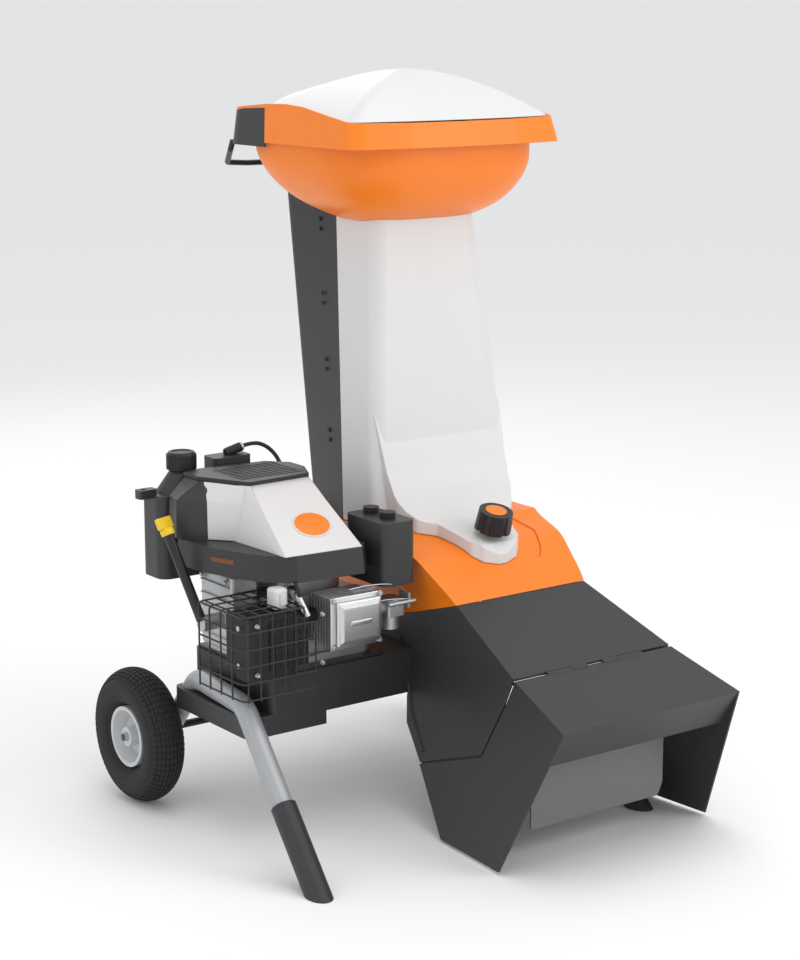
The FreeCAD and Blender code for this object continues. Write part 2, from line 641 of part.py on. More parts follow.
def carburettor():
    bowl = cylinder(17, 30, V(-62, -62, 396))
    body = box(-84, -42, -86, -40, 424, 458, 6)
    throat = cylinder(13, 56, V(-98, -62, 442), X_AXIS)
    spindle = cylinder(4, 66, V(-88, -92, 452), X_AXIS)
    arm = box(-40, -36, -94, -60, 440, 470)
    lug = box(-70, -62, -94, -84, 446, 456)
    return join(bowl, body, throat, spindle, arm, lug)


FILTER_X, FILTER_KNOB_Y = -54.0, (-42.0, 14.0)


def air_filter_box():
    case = box(-97, -18, -90, 46, 488, 604, 16)
    inner = box(-93, -22, -86, 42, 492, 600, 13)
    lid = plan_prism([(-97, -90), (-18, -90), (-18, 46), (-97, 46)], 604, 616, 16)
    shell = join(case.cut(inner), lid)
    for y in FILTER_KNOB_Y:
        shell = shell.cut(cylinder(5 + FIT, 60, V(FILTER_X, y, 580)))
    return shell


def ribbed_knob(centre, radius, height, stem):
    """Small turning knob with a ribbed rim and a stem below."""
    body = cylinder(radius, height, centre)
    for i in range(12):
        angle = math.radians(30 * i)
        groove = cylinder(1.6, height, centre + V(math.cos(angle), math.sin(angle), 0) * (radius + 0.4))
        body = body.cut(groove)
    return join(body, cylinder(5, stem, centre - Z_AXIS * stem))


def air_filter_knob(y):
    return ribbed_knob(V(FILTER_X, y, 616.5), 16, 12, 24)


FUEL_X, FUEL_Y = -320.0, 302.0
TANK_TOP, NECK_TOP = 645.0, 700.0


def fuel_tank():
    """Hollow tank with a leaning filler neck and a lifting lug."""
    case = box(-392, -210, 264, 350, 474, TANK_TOP, 24)
    inner = box(-388, -214, 268, 346, 478, TANK_TOP - 4, 20)
    root = Part.Wire(Part.makeCircle(36, V(-342, FUEL_Y + 2, TANK_TOP - 2)))
    collar = Part.Wire(Part.makeCircle(24, V(FUEL_X, FUEL_Y, NECK_TOP - 12)))
    neck = join(loft([root, collar]), cylinder(24, 12, V(FUEL_X, FUEL_Y, NECK_TOP - 12)))
    lug = box(-424, -384, 290, 314, 640, 658, 5).cut(cylinder(6, 40, V(-410, 302, 630)))
    funnel = loft([Part.Wire(Part.makeCircle(28, V(-338, FUEL_Y + 2, TANK_TOP - 8))),
                   Part.Wire(Part.makeCircle(18, V(FUEL_X, FUEL_Y, NECK_TOP - 15)))])
    shell = join(case.cut(inner), neck, lug).cut(inner).cut(funnel)
    return shell.cut(cylinder(19, 30, V(FUEL_X, FUEL_Y, NECK_TOP - 15)))


def fuel_cap():
    """Ribbed cap with a plug that turns in the filler neck."""
    cap = ribbed_knob(V(FUEL_X, FUEL_Y, NECK_TOP + 0.5), 31, 26, 1)
    return join(cap, cylinder(19 - FIT, 13, V(FUEL_X, FUEL_Y, NECK_TOP - 11.5)))


def dipstick_tube():
    along = (DIP_TOP - DIP_LOW).normalize()
    length = (DIP_TOP - DIP_LOW).Length
    return ring(DIP_TUBE_R, 7, length, DIP_LOW, along)


def dipstick():
    """Blade of the dipstick with its winged yellow cap."""
    along = (DIP_TOP - DIP_LOW).normalize()
    cap = cylinder(14, 14, DIP_TOP + along * 0.5, along)
    plug = cylinder(7 - FIT, 14, DIP_TOP - along * 13, along)
    blade = cylinder(2.5, DIP_BLADE, DIP_TOP - along * DIP_BLADE, along)
    grip = box(-22, 22, -5, 5, 0, 26, 4)
    grip.Placement = FreeCAD.Placement(DIP_TOP + along * 13, FreeCAD.Rotation(Z_AXIS, along))
    return join(cap, plug, blade, grip)


def vent_box():
    body = box(-261, -173, 268, 316, TANK_TOP, 708, 8)
    boot = cylinder(8, 42, V(-222, 292, 712), V(1, 0, 0.24))
    return join(body, boot)


HOSE_ROUTE = [V(-180.4, 292, 722), V(-155, 291, 727), V(-129, 284, 719), V(-112, 271, 699), V(-106, 256, 672),
              V(-107, 241, 640), V(-112, 228, 606), V(-117, 219, 574.6)]


def vent_hose():
    return rod(HOSE_ROUTE, HOSE_R, "vent_hose")


def flywheel():
    """Flywheel with fan vanes under the cowl."""
    disc = ring(FLYWHEEL_R, SHAFT_R - 2.5, 12, V(CRANK.x, CRANK.y, 535))
    vanes = []
    for i in range(12):
        vane = box(CRANK.x + 36, CRANK.x + FLYWHEEL_R - 2, CRANK.y - 2, CRANK.y + 2, 546, 566)
        vane.rotate(V(CRANK.x, CRANK.y, 0), Z_AXIS, 30 * i)
        vanes.append(vane)
    return join(disc, *vanes)


def crankshaft():
    profile = [(0, 272), (SHAFT_R, 272), (SHAFT_R, 330), (14.5, 330), (14.5, 515), (10, 520), (10, 556),
               (16, 556), (16, 568), (0, 568)]
    return turned(profile, V(CRANK.x, CRANK.y, 0), Z_AXIS)


# ---- feed tower ------------------------------------------------------------------------------------
def seam_side(front):
    """Half space in front of or behind the seam between the two tower shells."""
    y = -400.0 if front else 900.0
    low, high = 500.0, 1500.0
    shift = 0.0 if front else GAP
    seam_low, seam_high = 173 + (low - 544) * 0.1575 + shift, 173 + (high - 544) * 0.1575 + shift
    return side_prism([(seam_low, low), (seam_high, high), (y, high), (y, low)])


def tower_tube(inset, low, high):
    """The tower's full section, lofted as one tapering tube."""
    wires = []
    for z in (low, high):
        half = 139 + (1190 - z) * 0.0879
        half_back = min(150.0, half)
        front = 148 - 0.12 * (1190 - z)
        seam = 173 + (z - 544) * 0.1575
        back = 375 + (z - 639) * 0.196
        wires.append(rounded_wire([V(CX - half_back + inset, back - inset, z), V(CX - half + inset, seam, z),
                                   V(CX - half + 8 + inset, front + inset, z),
                                   V(CX + half - 8 - inset, front + inset, z),
                                   V(CX + half - inset, seam, z), V(CX + half_back - inset, back - inset, z)],
                                  34))
    return loft(wires)


def pedestal(hollow):
    """Flared foot of the tower that carries the lock knob, open to the shaft behind it."""
    left = [(-166, 130), (-148, 48), (-124, 14), (-86, -8), (-72, -50), (-61, -86), (-42, -103), (-10, -112)]
    plan = [(CX + x, y) for x, y in left] + [(CX - x, y) for x, y in reversed(left)]
    side = [(-120, 470), (-112, 520), (-99, 543), (-40, 563), (4, 578), (34, 600), (58, 632), (77, 676), (90, 722),
            (110, 790), (130, 790), (130, 470)]
    block = plan_prism(plan, 470, 800, 12).common(side_prism(side, 240, 10))
    return block.cut(hollow).cut(cover_solid(-1.2))


def tower_shell(front):
    hollow = tower_tube(SKIN, TOWER_FOOT - 60, TOWER_TOP + 1)
    tube = tower_tube(0, TOWER_FOOT, TOWER_TOP).cut(hollow)
    shell = tube.common(seam_side(front)).cut(bowl_solid(0))
    if not front:
        shell = shell.cut(box(CX - 300, CX + 300, 0, 460, 1240, 1400))
        shell = hinge_side(shell)
    if front:
        shell = join(shell, pedestal(hollow))
        shell = shell.cut(cylinder(7 + FIT, 40, KNOB_SEAT - KNOB_AXIS * 30, KNOB_AXIS))
    return max(shell.Solids, key=lambda s: s.Volume)


def hinge_side(shell):
    """Give the rear shell its two hinge barrels, and room for the fixed ones."""
    y, z = HINGE
    for x in (-121, 79):
        shell = shell.cut(cylinder(10.5, 42, V(CX + x, y, z), X_AXIS))
        shell = shell.cut(box(CX + x, CX + x + 42, y - 10, y + 10, TOWER_FOOT - 5, z))
    moving = [cylinder(9, 40, V(CX + x, y, z), X_AXIS) for x in (-76, 36)]
    shell = join(max(shell.Solids, key=lambda s: s.Volume), *moving)
    return shell.cut(cylinder(5 + FIT, 300, V(CX - 150, y, z), X_AXIS))


BOWL_LEVELS = [(1178, 122, 158, 262), (1182, 146, 142, 300), (1194, 172, 116, 336), (1214, 204, 88, 380),
               (1240, 230, 66, 424), (1268, 248, 50, 456), (1302, 258, 41, 484), (SKIRT_LOW + 6, 260, 38, 496)]


def bowl_solid(inset):
    wires = [oval_wire(half - inset, front + inset, back - inset, z + (0.9 * inset if z < 1230 else 0), 3.6)
             for z, half, front, back in BOWL_LEVELS]
    return loft(wires, False)


def hopper_bowl():
    mouth = loft([oval_wire(256, 42, 492, SKIRT_LOW, 3.6), oval_wire(256, 42, 492, SKIRT_LOW + 20, 3.6)])
    throat = loft([oval_wire(108, 166, 270, 1160, 3.4), oval_wire(108, 166, 270, 1215, 3.4)])
    return bowl_solid(0).cut(bowl_solid(SKIN)).cut(mouth).cut(throat)


def rim_outline(half, front, back):
    """Corners of the rim in plan, as (x, y): a bowed front, straight sides and a straight rear."""
    bow = [(-1, back), (-1, front + 26), (-0.92, front + 8), (-0.5, front - 10), (0, front - 15)]
    return [(s * half, y) for s, y in bow] + [(-s * half, y) for s, y in reversed(bow[:-1])]


def skirt_wire(z, inset=0.0):
    rise = (z - SKIRT_LOW) / 67
    corners = rim_outline(270 - 14 * rise - inset, 25 + 15 * rise + inset, 503 + 6 * rise - inset)
    return rounded_wire([V(CX + x, y, z) for x, y in corners], 60)


def skirt_ring():
    outer = loft([skirt_wire(SKIRT_LOW), skirt_wire(SKIRT_SIDE_TOP + 4)])
    return outer.cut(loft([skirt_wire(SKIRT_LOW - 1, SKIN), skirt_wire(SKIRT_SIDE_TOP + 5, SKIN)]))


SKIRT_TOP_LINE = [(0, 1381), (60, 1385), (145, 1397), (225, 1409), (286, 1413), (356, 1411), (440, 1404), (540, 1394)]


def frame_zone():
    """Rear part of the rim that is a separate dark frame."""
    return side_prism([(339, SKIRT_LOW - 10), (361, 1403), (440, 1399), (540, 1386), (540, SKIRT_LOW - 10)])


def hopper_skirt():
    above = side_prism(SKIRT_TOP_LINE + [(540, 1500), (0, 1500)])
    shape = skirt_ring().cut(above).cut(frame_zone())
    return max(shape.Solids, key=lambda s: s.Volume)


def feed_frame():
    """Dark frame round the rear half of the feed opening."""
    band = skirt_ring().common(frame_zone())
    lower = loft([skirt_wire(SKIRT_LOW - 8), skirt_wire(SKIRT_LOW)])
    lower = lower.cut(loft([skirt_wire(SKIRT_LOW - 9, SKIN), skirt_wire(SKIRT_LOW + 1, SKIN)]))
    lower = lower.common(side_prism([(340, 1300), (340, 1345), (540, 1345), (540, 1300)]))
    return join(band, lower).cut(transport_handle())


def dome_solid(inset):
    """Low crowned lid whose outline is that of the rim; its top lies forward of the middle."""
    wires = []
    for share in (0.0, 0.06, 0.14, 0.27, 0.44, 0.62, 0.8, 0.93):
        z = DOME_BASE + DOME_RISE * (1 - (1 - share) ** 1.8) - inset
        corners = rim_outline(254 - inset, 42.6 + inset, 502 - inset)
        points = [V(CX + x * (1 - share), 226 + (y - 226) * (1 - share), z) for x, y in corners]
        wires.append(rounded_wire(points, 60 + 60 * share))
    return loft(wires, False)


def hopper_dome():
    rear = side_prism([(352, 1500), (412, 1370), (700, 1370), (700, 1500)])
    return dome_solid(0).cut(dome_solid(3)).cut(rear)


def feed_curtain():
    strips = []
    for i in range(8):
        x = CX - 196 + 49 * i
        strips.append(box(x + 0.5, x + 48.5, 396, 399, 1288, 1376))
    strips.append(box(CX - 196, CX + 196, 396, 399, 1370, 1384))
    return join(*strips)


HANDLE_ROUTE = [V(CX - 254, 488, 1330), V(CX - 254, 497, 1312), V(CX - 226, 556, 1280), V(CX - 170, 564, 1276),
                V(CX + 170, 564, 1276), V(CX + 226, 556, 1280), V(CX + 254, 497, 1312), V(CX + 254, 488, 1330)]


def transport_handle():
    return leg_bar(HANDLE_ROUTE, 6, 10.0)


def tower_hinge():
    """Hinge pin with two barrels fixed to the cover."""
    y, z = HINGE
    pin = cylinder(5, 260, V(CX - 130, y, z), X_AXIS)
    blocks = []
    for x in (-120, 80):
        barrel = cylinder(9, 40, V(CX + x, y, z), X_AXIS)
        foot = box(CX + x, CX + x + 40, y - 8, y + 8, COVER_TOP, z)
        blocks.append(barrel.fuse(foot).removeSplitter().cut(pin))
    return group(blocks + [pin])


def tower_screws():
    """Pan heads along the flange of the rear shell."""
    heads = []
    for z in (1172, 1152, 1020, 1000, 884, 864, 738, 718):
        half = 139 + (1190 - z) * 0.0879
        seam = 173 + (z - 544) * 0.1575
        back = 375 + (z - 639) * 0.196
        share = 0.30
        half_back = min(150.0, half)
        x = half + (half_back - half) * share
        y = seam + (back - seam) * share
        for side in (-1, 1):
            heads.append(cylinder(4.5, 3, V(CX + side * (x - 0.6), y, z), X_AXIS * side))
    return group(heads)


# ---- lock knob -------------------------------------------------------------------------------------
def lock_knob():
    """Scalloped grip on a threaded stud."""
    body = Part.makeCone(KNOB_R, KNOB_R - 3, KNOB_H, KNOB_SEAT + KNOB_AXIS * 4, KNOB_AXIS)
    side = KNOB_AXIS.cross(X_AXIS).normalize()
    for i in range(8):
        turn = FreeCAD.Rotation(KNOB_AXIS, 45 * i)
        base = KNOB_SEAT + turn.multVec(side) * (KNOB_R + 3.5)
        body = body.cut(cylinder(7.5, KNOB_H + 10, base, KNOB_AXIS))
    body = body.cut(cylinder(CAP_R, 9, KNOB_SEAT + KNOB_AXIS * (KNOB_H - 3), KNOB_AXIS))
    return join(body, cylinder(7, 34, KNOB_SEAT - KNOB_AXIS * 26, KNOB_AXIS))


def lock_cap():
    return cylinder(CAP_R - 0.1, 8, KNOB_SEAT + KNOB_AXIS * (KNOB_H - 3), KNOB_AXIS)


# ---- fasteners ---------------------------------------------------------------------------------------
def frame_bolts():
    heads = []
    for side in (-1, 1):
        heads.append(hexagon(17, 7, V(side * (AXLE_HALF - 0.4), AXLE_Y, WHEEL_R), V(-side, 0, 0)).cut(axle()))
    for x, y in ((-315, 38), (-315, 199), (-85, -5), (-85, 199)):
        heads.append(hexagon(13, 6, V(x, y, 356)))
    return group(heads)


def engine_bolts():
    heads = []
    for x in (-55, 55):
        for z in (-47, 47):
            heads.append(hexagon(8, 5, V(HEAD_X + x, -86, HEAD_Z + z), V(0, -1, 0)))
    for z in (372, 446):
        heads.append(hexagon(10, 6, V(-400, -40, z), V(-1, 0, 0)))
    heads.append(hexagon(13, 8, V(-286, 60, 372), V(-1, 0, 0)))
    return group(heads)


# ---- export --------------------------------------------------------------------------------------------
def build():
    return {
        "left_tyre": tyre(-1), "left_rim": rim(-1), "right_tyre": tyre(1), "right_rim": rim(1),
        "axle": axle(), "left_frame_tube": frame_tube(-1), "right_frame_tube": frame_tube(1),
        "feet": feet(), "deck_housing": deck_housing(), "belt_cover": belt_cover(),
        "engine_plate": engine_plate(), "chute_body": chute_body(), "base_cover": base_cover(),
        "discharge_hood": discharge_hood(), "deflector_flap": flap(), "hood_pins": hood_pins(),
        "rotor_housing": rotor_housing(), "bearing_housing": bearing_housing(),
        "rotor_bearings": rotor_bearings(), "rotor_shaft": rotor_shaft(), "blade_disc": blade_disc(),
        "knives": knives(), "drive_belt": drive_belt(),
        "rotor_pulley": pulley(ROTOR, ROTOR_PULLEY_R, SHAFT_R),
        "engine_pulley": pulley(CRANK, ENGINE_PULLEY_R, SHAFT_R),
        "crankshaft": crankshaft(), "flywheel": flywheel(), "crankcase": crankcase(),
        "cylinder": cylinder_block(), "valve_cover": valve_cover(), "muffler": muffler(),
        "muffler_guard": muffler_guard(), "spark_plug_boot": spark_plug_boot(),
        "carburettor": carburettor(), "air_filter_box": air_filter_box(),
        "air_filter_knob_front": air_filter_knob(FILTER_KNOB_Y[0]), "air_filter_knob_rear": air_filter_knob(FILTER_KNOB_Y[1]),
        "cowl": cowl(), "shroud_panel": shroud_panel(), "top_grille": top_grille(),
        "fuel_tank": fuel_tank(), "fuel_cap": fuel_cap(), "dipstick_tube": dipstick_tube(),
        "dipstick": dipstick(), "vent_box": vent_box(), "vent_hose": vent_hose(),
        "tower_front_shell": tower_shell(True), "tower_rear_shell": tower_shell(False),
        "hopper_bowl": hopper_bowl(), "hopper_skirt": hopper_skirt(), "feed_frame": feed_frame(),
        "hopper_dome": hopper_dome(), "feed_curtain": feed_curtain(),
        "transport_handle": transport_handle(), "tower_hinge": tower_hinge(),
        "tower_screws": tower_screws(), "lock_knob": lock_knob(), "lock_cap": lock_cap(),
        "frame_bolts": frame_bolts(), "engine_bolts": engine_bolts(),
    }


os.makedirs("parts", exist_ok=True)
for name, shape in build().items():
    print("%-24s solids %2d  volume %9.0f  z %.0f to %.0f" % (
        name, len(shape.Solids), shape.Volume, shape.BoundBox.ZMin, shape.BoundBox.ZMax))
    shape.exportStep("parts/%s.step" % name)
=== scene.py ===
# %% [markdown]
# # A petrol garden chipper
# The frame holds every working part at its real size.  Nothing in it is moved here.
# This lesson gives each part its finish, and models the pieces whose detail a plain solid can't show.

# %% Load the frame
import json
import math

import bpy
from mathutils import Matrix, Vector


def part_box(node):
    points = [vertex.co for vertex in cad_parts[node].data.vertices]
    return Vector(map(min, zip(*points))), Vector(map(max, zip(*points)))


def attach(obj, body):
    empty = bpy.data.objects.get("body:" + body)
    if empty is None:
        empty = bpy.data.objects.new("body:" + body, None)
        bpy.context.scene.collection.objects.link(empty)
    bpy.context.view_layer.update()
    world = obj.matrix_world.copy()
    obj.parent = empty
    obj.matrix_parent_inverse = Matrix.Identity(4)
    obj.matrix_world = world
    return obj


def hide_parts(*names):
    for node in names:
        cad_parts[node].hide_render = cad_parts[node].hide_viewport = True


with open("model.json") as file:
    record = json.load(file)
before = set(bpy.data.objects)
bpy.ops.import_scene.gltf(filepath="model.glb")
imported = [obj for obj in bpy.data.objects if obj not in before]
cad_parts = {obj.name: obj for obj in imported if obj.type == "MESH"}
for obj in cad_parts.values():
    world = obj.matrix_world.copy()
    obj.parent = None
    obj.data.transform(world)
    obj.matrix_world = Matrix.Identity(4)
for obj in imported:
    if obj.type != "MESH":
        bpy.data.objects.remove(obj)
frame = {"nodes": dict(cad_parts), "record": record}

bpy.context.view_layer.update()
NODES = frame["nodes"]

# %% [markdown]
# ## Camera
# A long lens from standing height, a few metres off the front left corner, keeps the upright lines upright.
# It reaches far enough for the floor to run to its horizon.

# %% Camera
VIEW_TURN, VIEW_TILT = math.radians(36.3), math.radians(12.2)
FARTHEST_SEEN = 2000
camera_data = bpy.data.cameras.new("camera")
camera_data.lens = 83.4
camera_data.sensor_width = 36.0
camera_data.clip_end = FARTHEST_SEEN
camera = bpy.data.objects.new("camera", camera_data)
bpy.context.collection.objects.link(camera)
camera.location = (-2.575, -3.516, 1.620)
camera.rotation_euler = (math.pi / 2 - VIEW_TILT, 0, -VIEW_TURN)
bpy.context.scene.camera = camera
bpy.context.scene.view_settings.view_transform = "Standard"

# %% [markdown]
# ## Breather hose
# A short rubber hose carries tank vapour from the vent box to the blower housing.  It is limp enough to fall
# in one arch, so it is a single smooth NURBS line with a round section.  Its points are the part's own route.
# The box of a curve counts each point's radius in full, so that is kept small and the bevel depth is
# scaled up.

# %% Breather hose
HOSE_ROUTE = [(-0.1804, 0.292, 0.722), (-0.155, 0.291, 0.727), (-0.129, 0.284, 0.719), (-0.112, 0.271, 0.699),
              (-0.106, 0.256, 0.672), (-0.107, 0.241, 0.640), (-0.112, 0.228, 0.606), (-0.117, 0.219, 0.5746)]
HOSE_RADIUS, POINT_SCALE = 0.0042, 0.01
hose_line = bpy.data.curves.new("breather_hose", "CURVE")
hose_line.dimensions = "3D"
hose_line.bevel_depth = HOSE_RADIUS / POINT_SCALE
hose_line.bevel_resolution = 4
hose_line.resolution_u = 10
hose_spline = hose_line.splines.new("NURBS")
hose_spline.points.add(len(HOSE_ROUTE) - 1)
for point, place in zip(hose_spline.points, HOSE_ROUTE):
    point.co = (*place, 1)
    point.radius = POINT_SCALE
hose_spline.order_u = 3
hose_spline.use_endpoint_u = True
hose = bpy.data.objects.new("breather_hose", hose_line)
bpy.context.collection.objects.link(hose)
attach(hose, "chassis")
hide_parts("vent_hose")

# %% [markdown]
# ## Studio
# The studio has a wide pale floor, one large soft lamp above, a broad lamp in front and weaker ones at the
# side and behind.  Large lamps give the long soft highlights that show how glossy a shell is.

# %% Floor and lights
def deselect_all():
    if bpy.context.object and bpy.context.object.mode != "OBJECT":
        bpy.ops.object.mode_set(mode="OBJECT")
    bpy.ops.object.select_all(action="DESELECT")


def lamp(name, place, aim, width, height, power):
    """Soft rectangular lamp that faces its aim."""
    data = bpy.data.lights.new(name, "AREA")
    data.shape = "RECTANGLE"
    data.size, data.size_y = width, height
    data.energy = power
    light = bpy.data.objects.new(name, data)
    bpy.context.collection.objects.link(light)
    light.location = place
    light.rotation_euler = (Vector(aim) - Vector(place)).to_track_quat("-Z", "Y").to_euler()


FLOOR_SIZE, FLOOR_DROP = 3000, 0.0005
deselect_all()
bpy.ops.mesh.primitive_plane_add(size=FLOOR_SIZE, location=(0, 0, -FLOOR_DROP))
floor = bpy.context.object
floor.name = "studio_floor"
floor_material = bpy.data.materials.new("floor_paper")
floor_material.use_nodes = True
floor_shader = floor_material.node_tree.nodes["Principled BSDF"]
floor_shader.inputs["Base Color"].default_value = (0.96, 0.96, 0.96, 1)
floor_shader.inputs["Roughness"].default_value = 0.9
floor.data.materials.append(floor_material)

AIM = (0.05, 0, 0.7)
lamp("lamp_top", (0.3, -0.6, 4.2), AIM, 3.6, 3.0, 44)
lamp("lamp_front_right", (2.6, -3.6, 2.4), AIM, 2.4, 3.2, 46)
lamp("lamp_left", (-4.2, -0.6, 2.0), AIM, 2.0, 3.0, 12)
lamp("lamp_back", (1.0, 4.0, 2.8), AIM, 3.0, 2.0, 22)

world = bpy.data.worlds.new("studio")
world.use_nodes = True
world.node_tree.nodes["Background"].inputs["Color"].default_value = (0.95, 0.96, 0.97, 1)
world.node_tree.nodes["Background"].inputs["Strength"].default_value = 0.84
bpy.context.scene.world = world

# %% [markdown]
# ## Shared surface effects
# Three effects turn up on nearly every part.  Moulded and cast skins have a fine grain.  Handling leaves
# faint smudges that change the gloss.  Every real edge has a small radius that catches light and wears first.
# Each effect is one node group, so that a finish only has to say how strong it is.

# %% Node group helpers
def new_group(name, inputs, outputs):
    group = bpy.data.node_groups.new(name, "ShaderNodeTree")
    for label, kind, value in inputs:
        socket = group.interface.new_socket(name=label, in_out="INPUT", socket_type=kind)
        if value is not None:
            socket.default_value = value
    for label, kind in outputs:
        group.interface.new_socket(name=label, in_out="OUTPUT", socket_type=kind)
    return group, group.nodes.new("NodeGroupInput"), group.nodes.new("NodeGroupOutput")


def maths(tree, operation, first, second=0.5, clamp=False):
    """A Math node fed by sockets or plain numbers; returns its output."""
    node = tree.nodes.new("ShaderNodeMath")
    node.operation = operation
    node.use_clamp = clamp
    for slot, value in zip(node.inputs, (first, second)):
        if isinstance(value, (int, float)):
            slot.default_value = value
        else:
            tree.links.new(value, slot)
    return node.outputs[0]


def noise(tree, coordinate, scale, detail=3.0, roughness=0.55):
    node = tree.nodes.new("ShaderNodeTexNoise")
    node.inputs["Detail"].default_value = detail
    node.inputs["Roughness"].default_value = roughness
    tree.links.new(coordinate, node.inputs["Vector"])
    if isinstance(scale, (int, float)):
        node.inputs["Scale"].default_value = scale
    else:
        tree.links.new(scale, node.inputs["Scale"])
    return node.outputs["Fac"]


FLOAT, VECTOR = "NodeSocketFloat", "NodeSocketVector"


# %% Grain and smudges
def build_grain_group():
    """Height of a fine moulded or cast grain; Spacing is about the size of one grain in metres."""
    group, given, result = new_group("skin_grain", [("Spacing", FLOAT, 0.001)], [("Height", FLOAT)])
    place = group.nodes.new("ShaderNodeTexCoord").outputs["Object"]
    scale = maths(group, "DIVIDE", 0.7, given.outputs["Spacing"])
    cells = group.nodes.new("ShaderNodeTexVoronoi")
    cells.feature = "SMOOTH_F1"
    group.links.new(place, cells.inputs["Vector"])
    group.links.new(scale, cells.inputs["Scale"])
    rough = noise(group, place, maths(group, "MULTIPLY", scale, 0.35), 4.0, 0.6)
    height = maths(group, "ADD", maths(group, "MULTIPLY", cells.outputs["Distance"], 0.6), rough)
    group.links.new(height, result.inputs["Height"])
    return group


def build_smudge_group():
    """Broad handling marks and faint dust; the result shifts the gloss and, a little, the colour."""
    group, given, result = new_group("handling_marks", [("Size", FLOAT, 0.12)], [("Smudge", FLOAT)])
    place = group.nodes.new("ShaderNodeTexCoord").outputs["Object"]
    scale = maths(group, "DIVIDE", 1.0, given.outputs["Size"])
    broad = noise(group, place, scale, 3.0, 0.6)
    fine = noise(group, place, maths(group, "MULTIPLY", scale, 9.0), 4.0, 0.65)
    smudge = maths(group, "ADD", maths(group, "MULTIPLY", broad, 0.65), maths(group, "MULTIPLY", fine, 0.35))
    group.links.new(smudge, result.inputs["Smudge"])
    return group


# %% Edges
def build_edge_group():
    """Rounded normals at sharp corners, and a broken mask of where those corners are."""
    group, given, result = new_group("worn_edges", [("Radius", FLOAT, 0.0012), ("Breakup", FLOAT, 60.0)],
                                     [("Normal", VECTOR), ("Edge", FLOAT)])
    bevel = group.nodes.new("ShaderNodeBevel")
    bevel.samples = 4
    group.links.new(given.outputs["Radius"], bevel.inputs["Radius"])
    facing = group.nodes.new("ShaderNodeNewGeometry").outputs["Normal"]
    dot = group.nodes.new("ShaderNodeVectorMath")
    dot.operation = "DOT_PRODUCT"
    group.links.new(bevel.outputs["Normal"], dot.inputs[0])
    group.links.new(facing, dot.inputs[1])
    turn = maths(group, "SUBTRACT", 1.0, dot.outputs["Value"])
    place = group.nodes.new("ShaderNodeTexCoord").outputs["Object"]
    broken = noise(group, place, given.outputs["Breakup"], 4.0, 0.65)
    mask = maths(group, "MULTIPLY", maths(group, "MULTIPLY", turn, 9.0, True), broken, True)
    group.links.new(bevel.outputs["Normal"], result.inputs["Normal"])
    group.links.new(mask, result.inputs["Edge"])
    return group


GRAIN = build_grain_group()
SMUDGES = build_smudge_group()
EDGES = build_edge_group()

# %% [markdown]
# ## Finishes
# One function makes every finish from its colour, gloss, grain and wear.  Paint and plastic differ in how
# coarse the grain is and what shows at a worn edge: bare metal under paint, a paler scuff on plastic.


# %% Finish builder
def mix_colour(tree, factor, first, second):
    node = tree.nodes.new("ShaderNodeMix")
    node.data_type = "RGBA"
    if isinstance(factor, (int, float)):
        node.inputs["Factor"].default_value = factor
    else:
        tree.links.new(factor, node.inputs["Factor"])
    for socket, value in ((node.inputs["A"], first), (node.inputs["B"], second)):
        if hasattr(value, "is_linked"):
            tree.links.new(value, socket)
        else:
            socket.default_value = (*value, 1)
    return node.outputs["Result"]


def placed(tree, group, **values):
    node = tree.nodes.new("ShaderNodeGroup")
    node.node_tree = group
    for name, value in values.items():
        node.inputs[name].default_value = value
    return node


def shade_of(colour, factor):
    return tuple(min(1.0, c * factor) for c in colour)


def finish(name, colour, rough=0.5, metal=0.0, grain=0.001, grain_depth=0.15, smudge=0.12, marks=0.15,
           tone=0.12, edge=0.0012, wear=0.25, worn=None, specular=0.5):
    """A finish with grain, smudges and worn edges; returns the material."""
    material = bpy.data.materials.new(name)
    material.use_nodes = True
    tree = material.node_tree
    shader = tree.nodes["Principled BSDF"]
    shader.inputs["Metallic"].default_value = metal
    shader.inputs["Specular IOR Level"].default_value = specular
    marks_node = placed(tree, SMUDGES, Size=smudge)
    edges = placed(tree, EDGES, Radius=edge)
    grain_node = placed(tree, GRAIN, Spacing=grain)
    dark, light = shade_of(colour, 1 - tone), shade_of(colour, 1 + tone)
    base = mix_colour(tree, marks_node.outputs["Smudge"], dark, light)
    edge_mask = maths(tree, "MULTIPLY", edges.outputs["Edge"], wear)
    worn_colour = worn or tuple(c + (1 - c) * 0.25 for c in colour)
    tree.links.new(mix_colour(tree, edge_mask, base, worn_colour), shader.inputs["Base Color"])
    smudged = maths(tree, "MULTIPLY", marks_node.outputs["Smudge"], marks)
    gloss = maths(tree, "ADD", smudged, rough - marks / 2)
    tree.links.new(maths(tree, "ADD", gloss, maths(tree, "MULTIPLY", edge_mask, -0.1), True),
                   shader.inputs["Roughness"])
    bump = tree.nodes.new("ShaderNodeBump")
    bump.inputs["Strength"].default_value = grain_depth
    bump.inputs["Distance"].default_value = grain * 0.6
    tree.links.new(grain_node.outputs["Height"], bump.inputs["Height"])
    tree.links.new(edges.outputs["Normal"], bump.inputs["Normal"])
    tree.links.new(bump.outputs["Normal"], shader.inputs["Normal"])
    return material


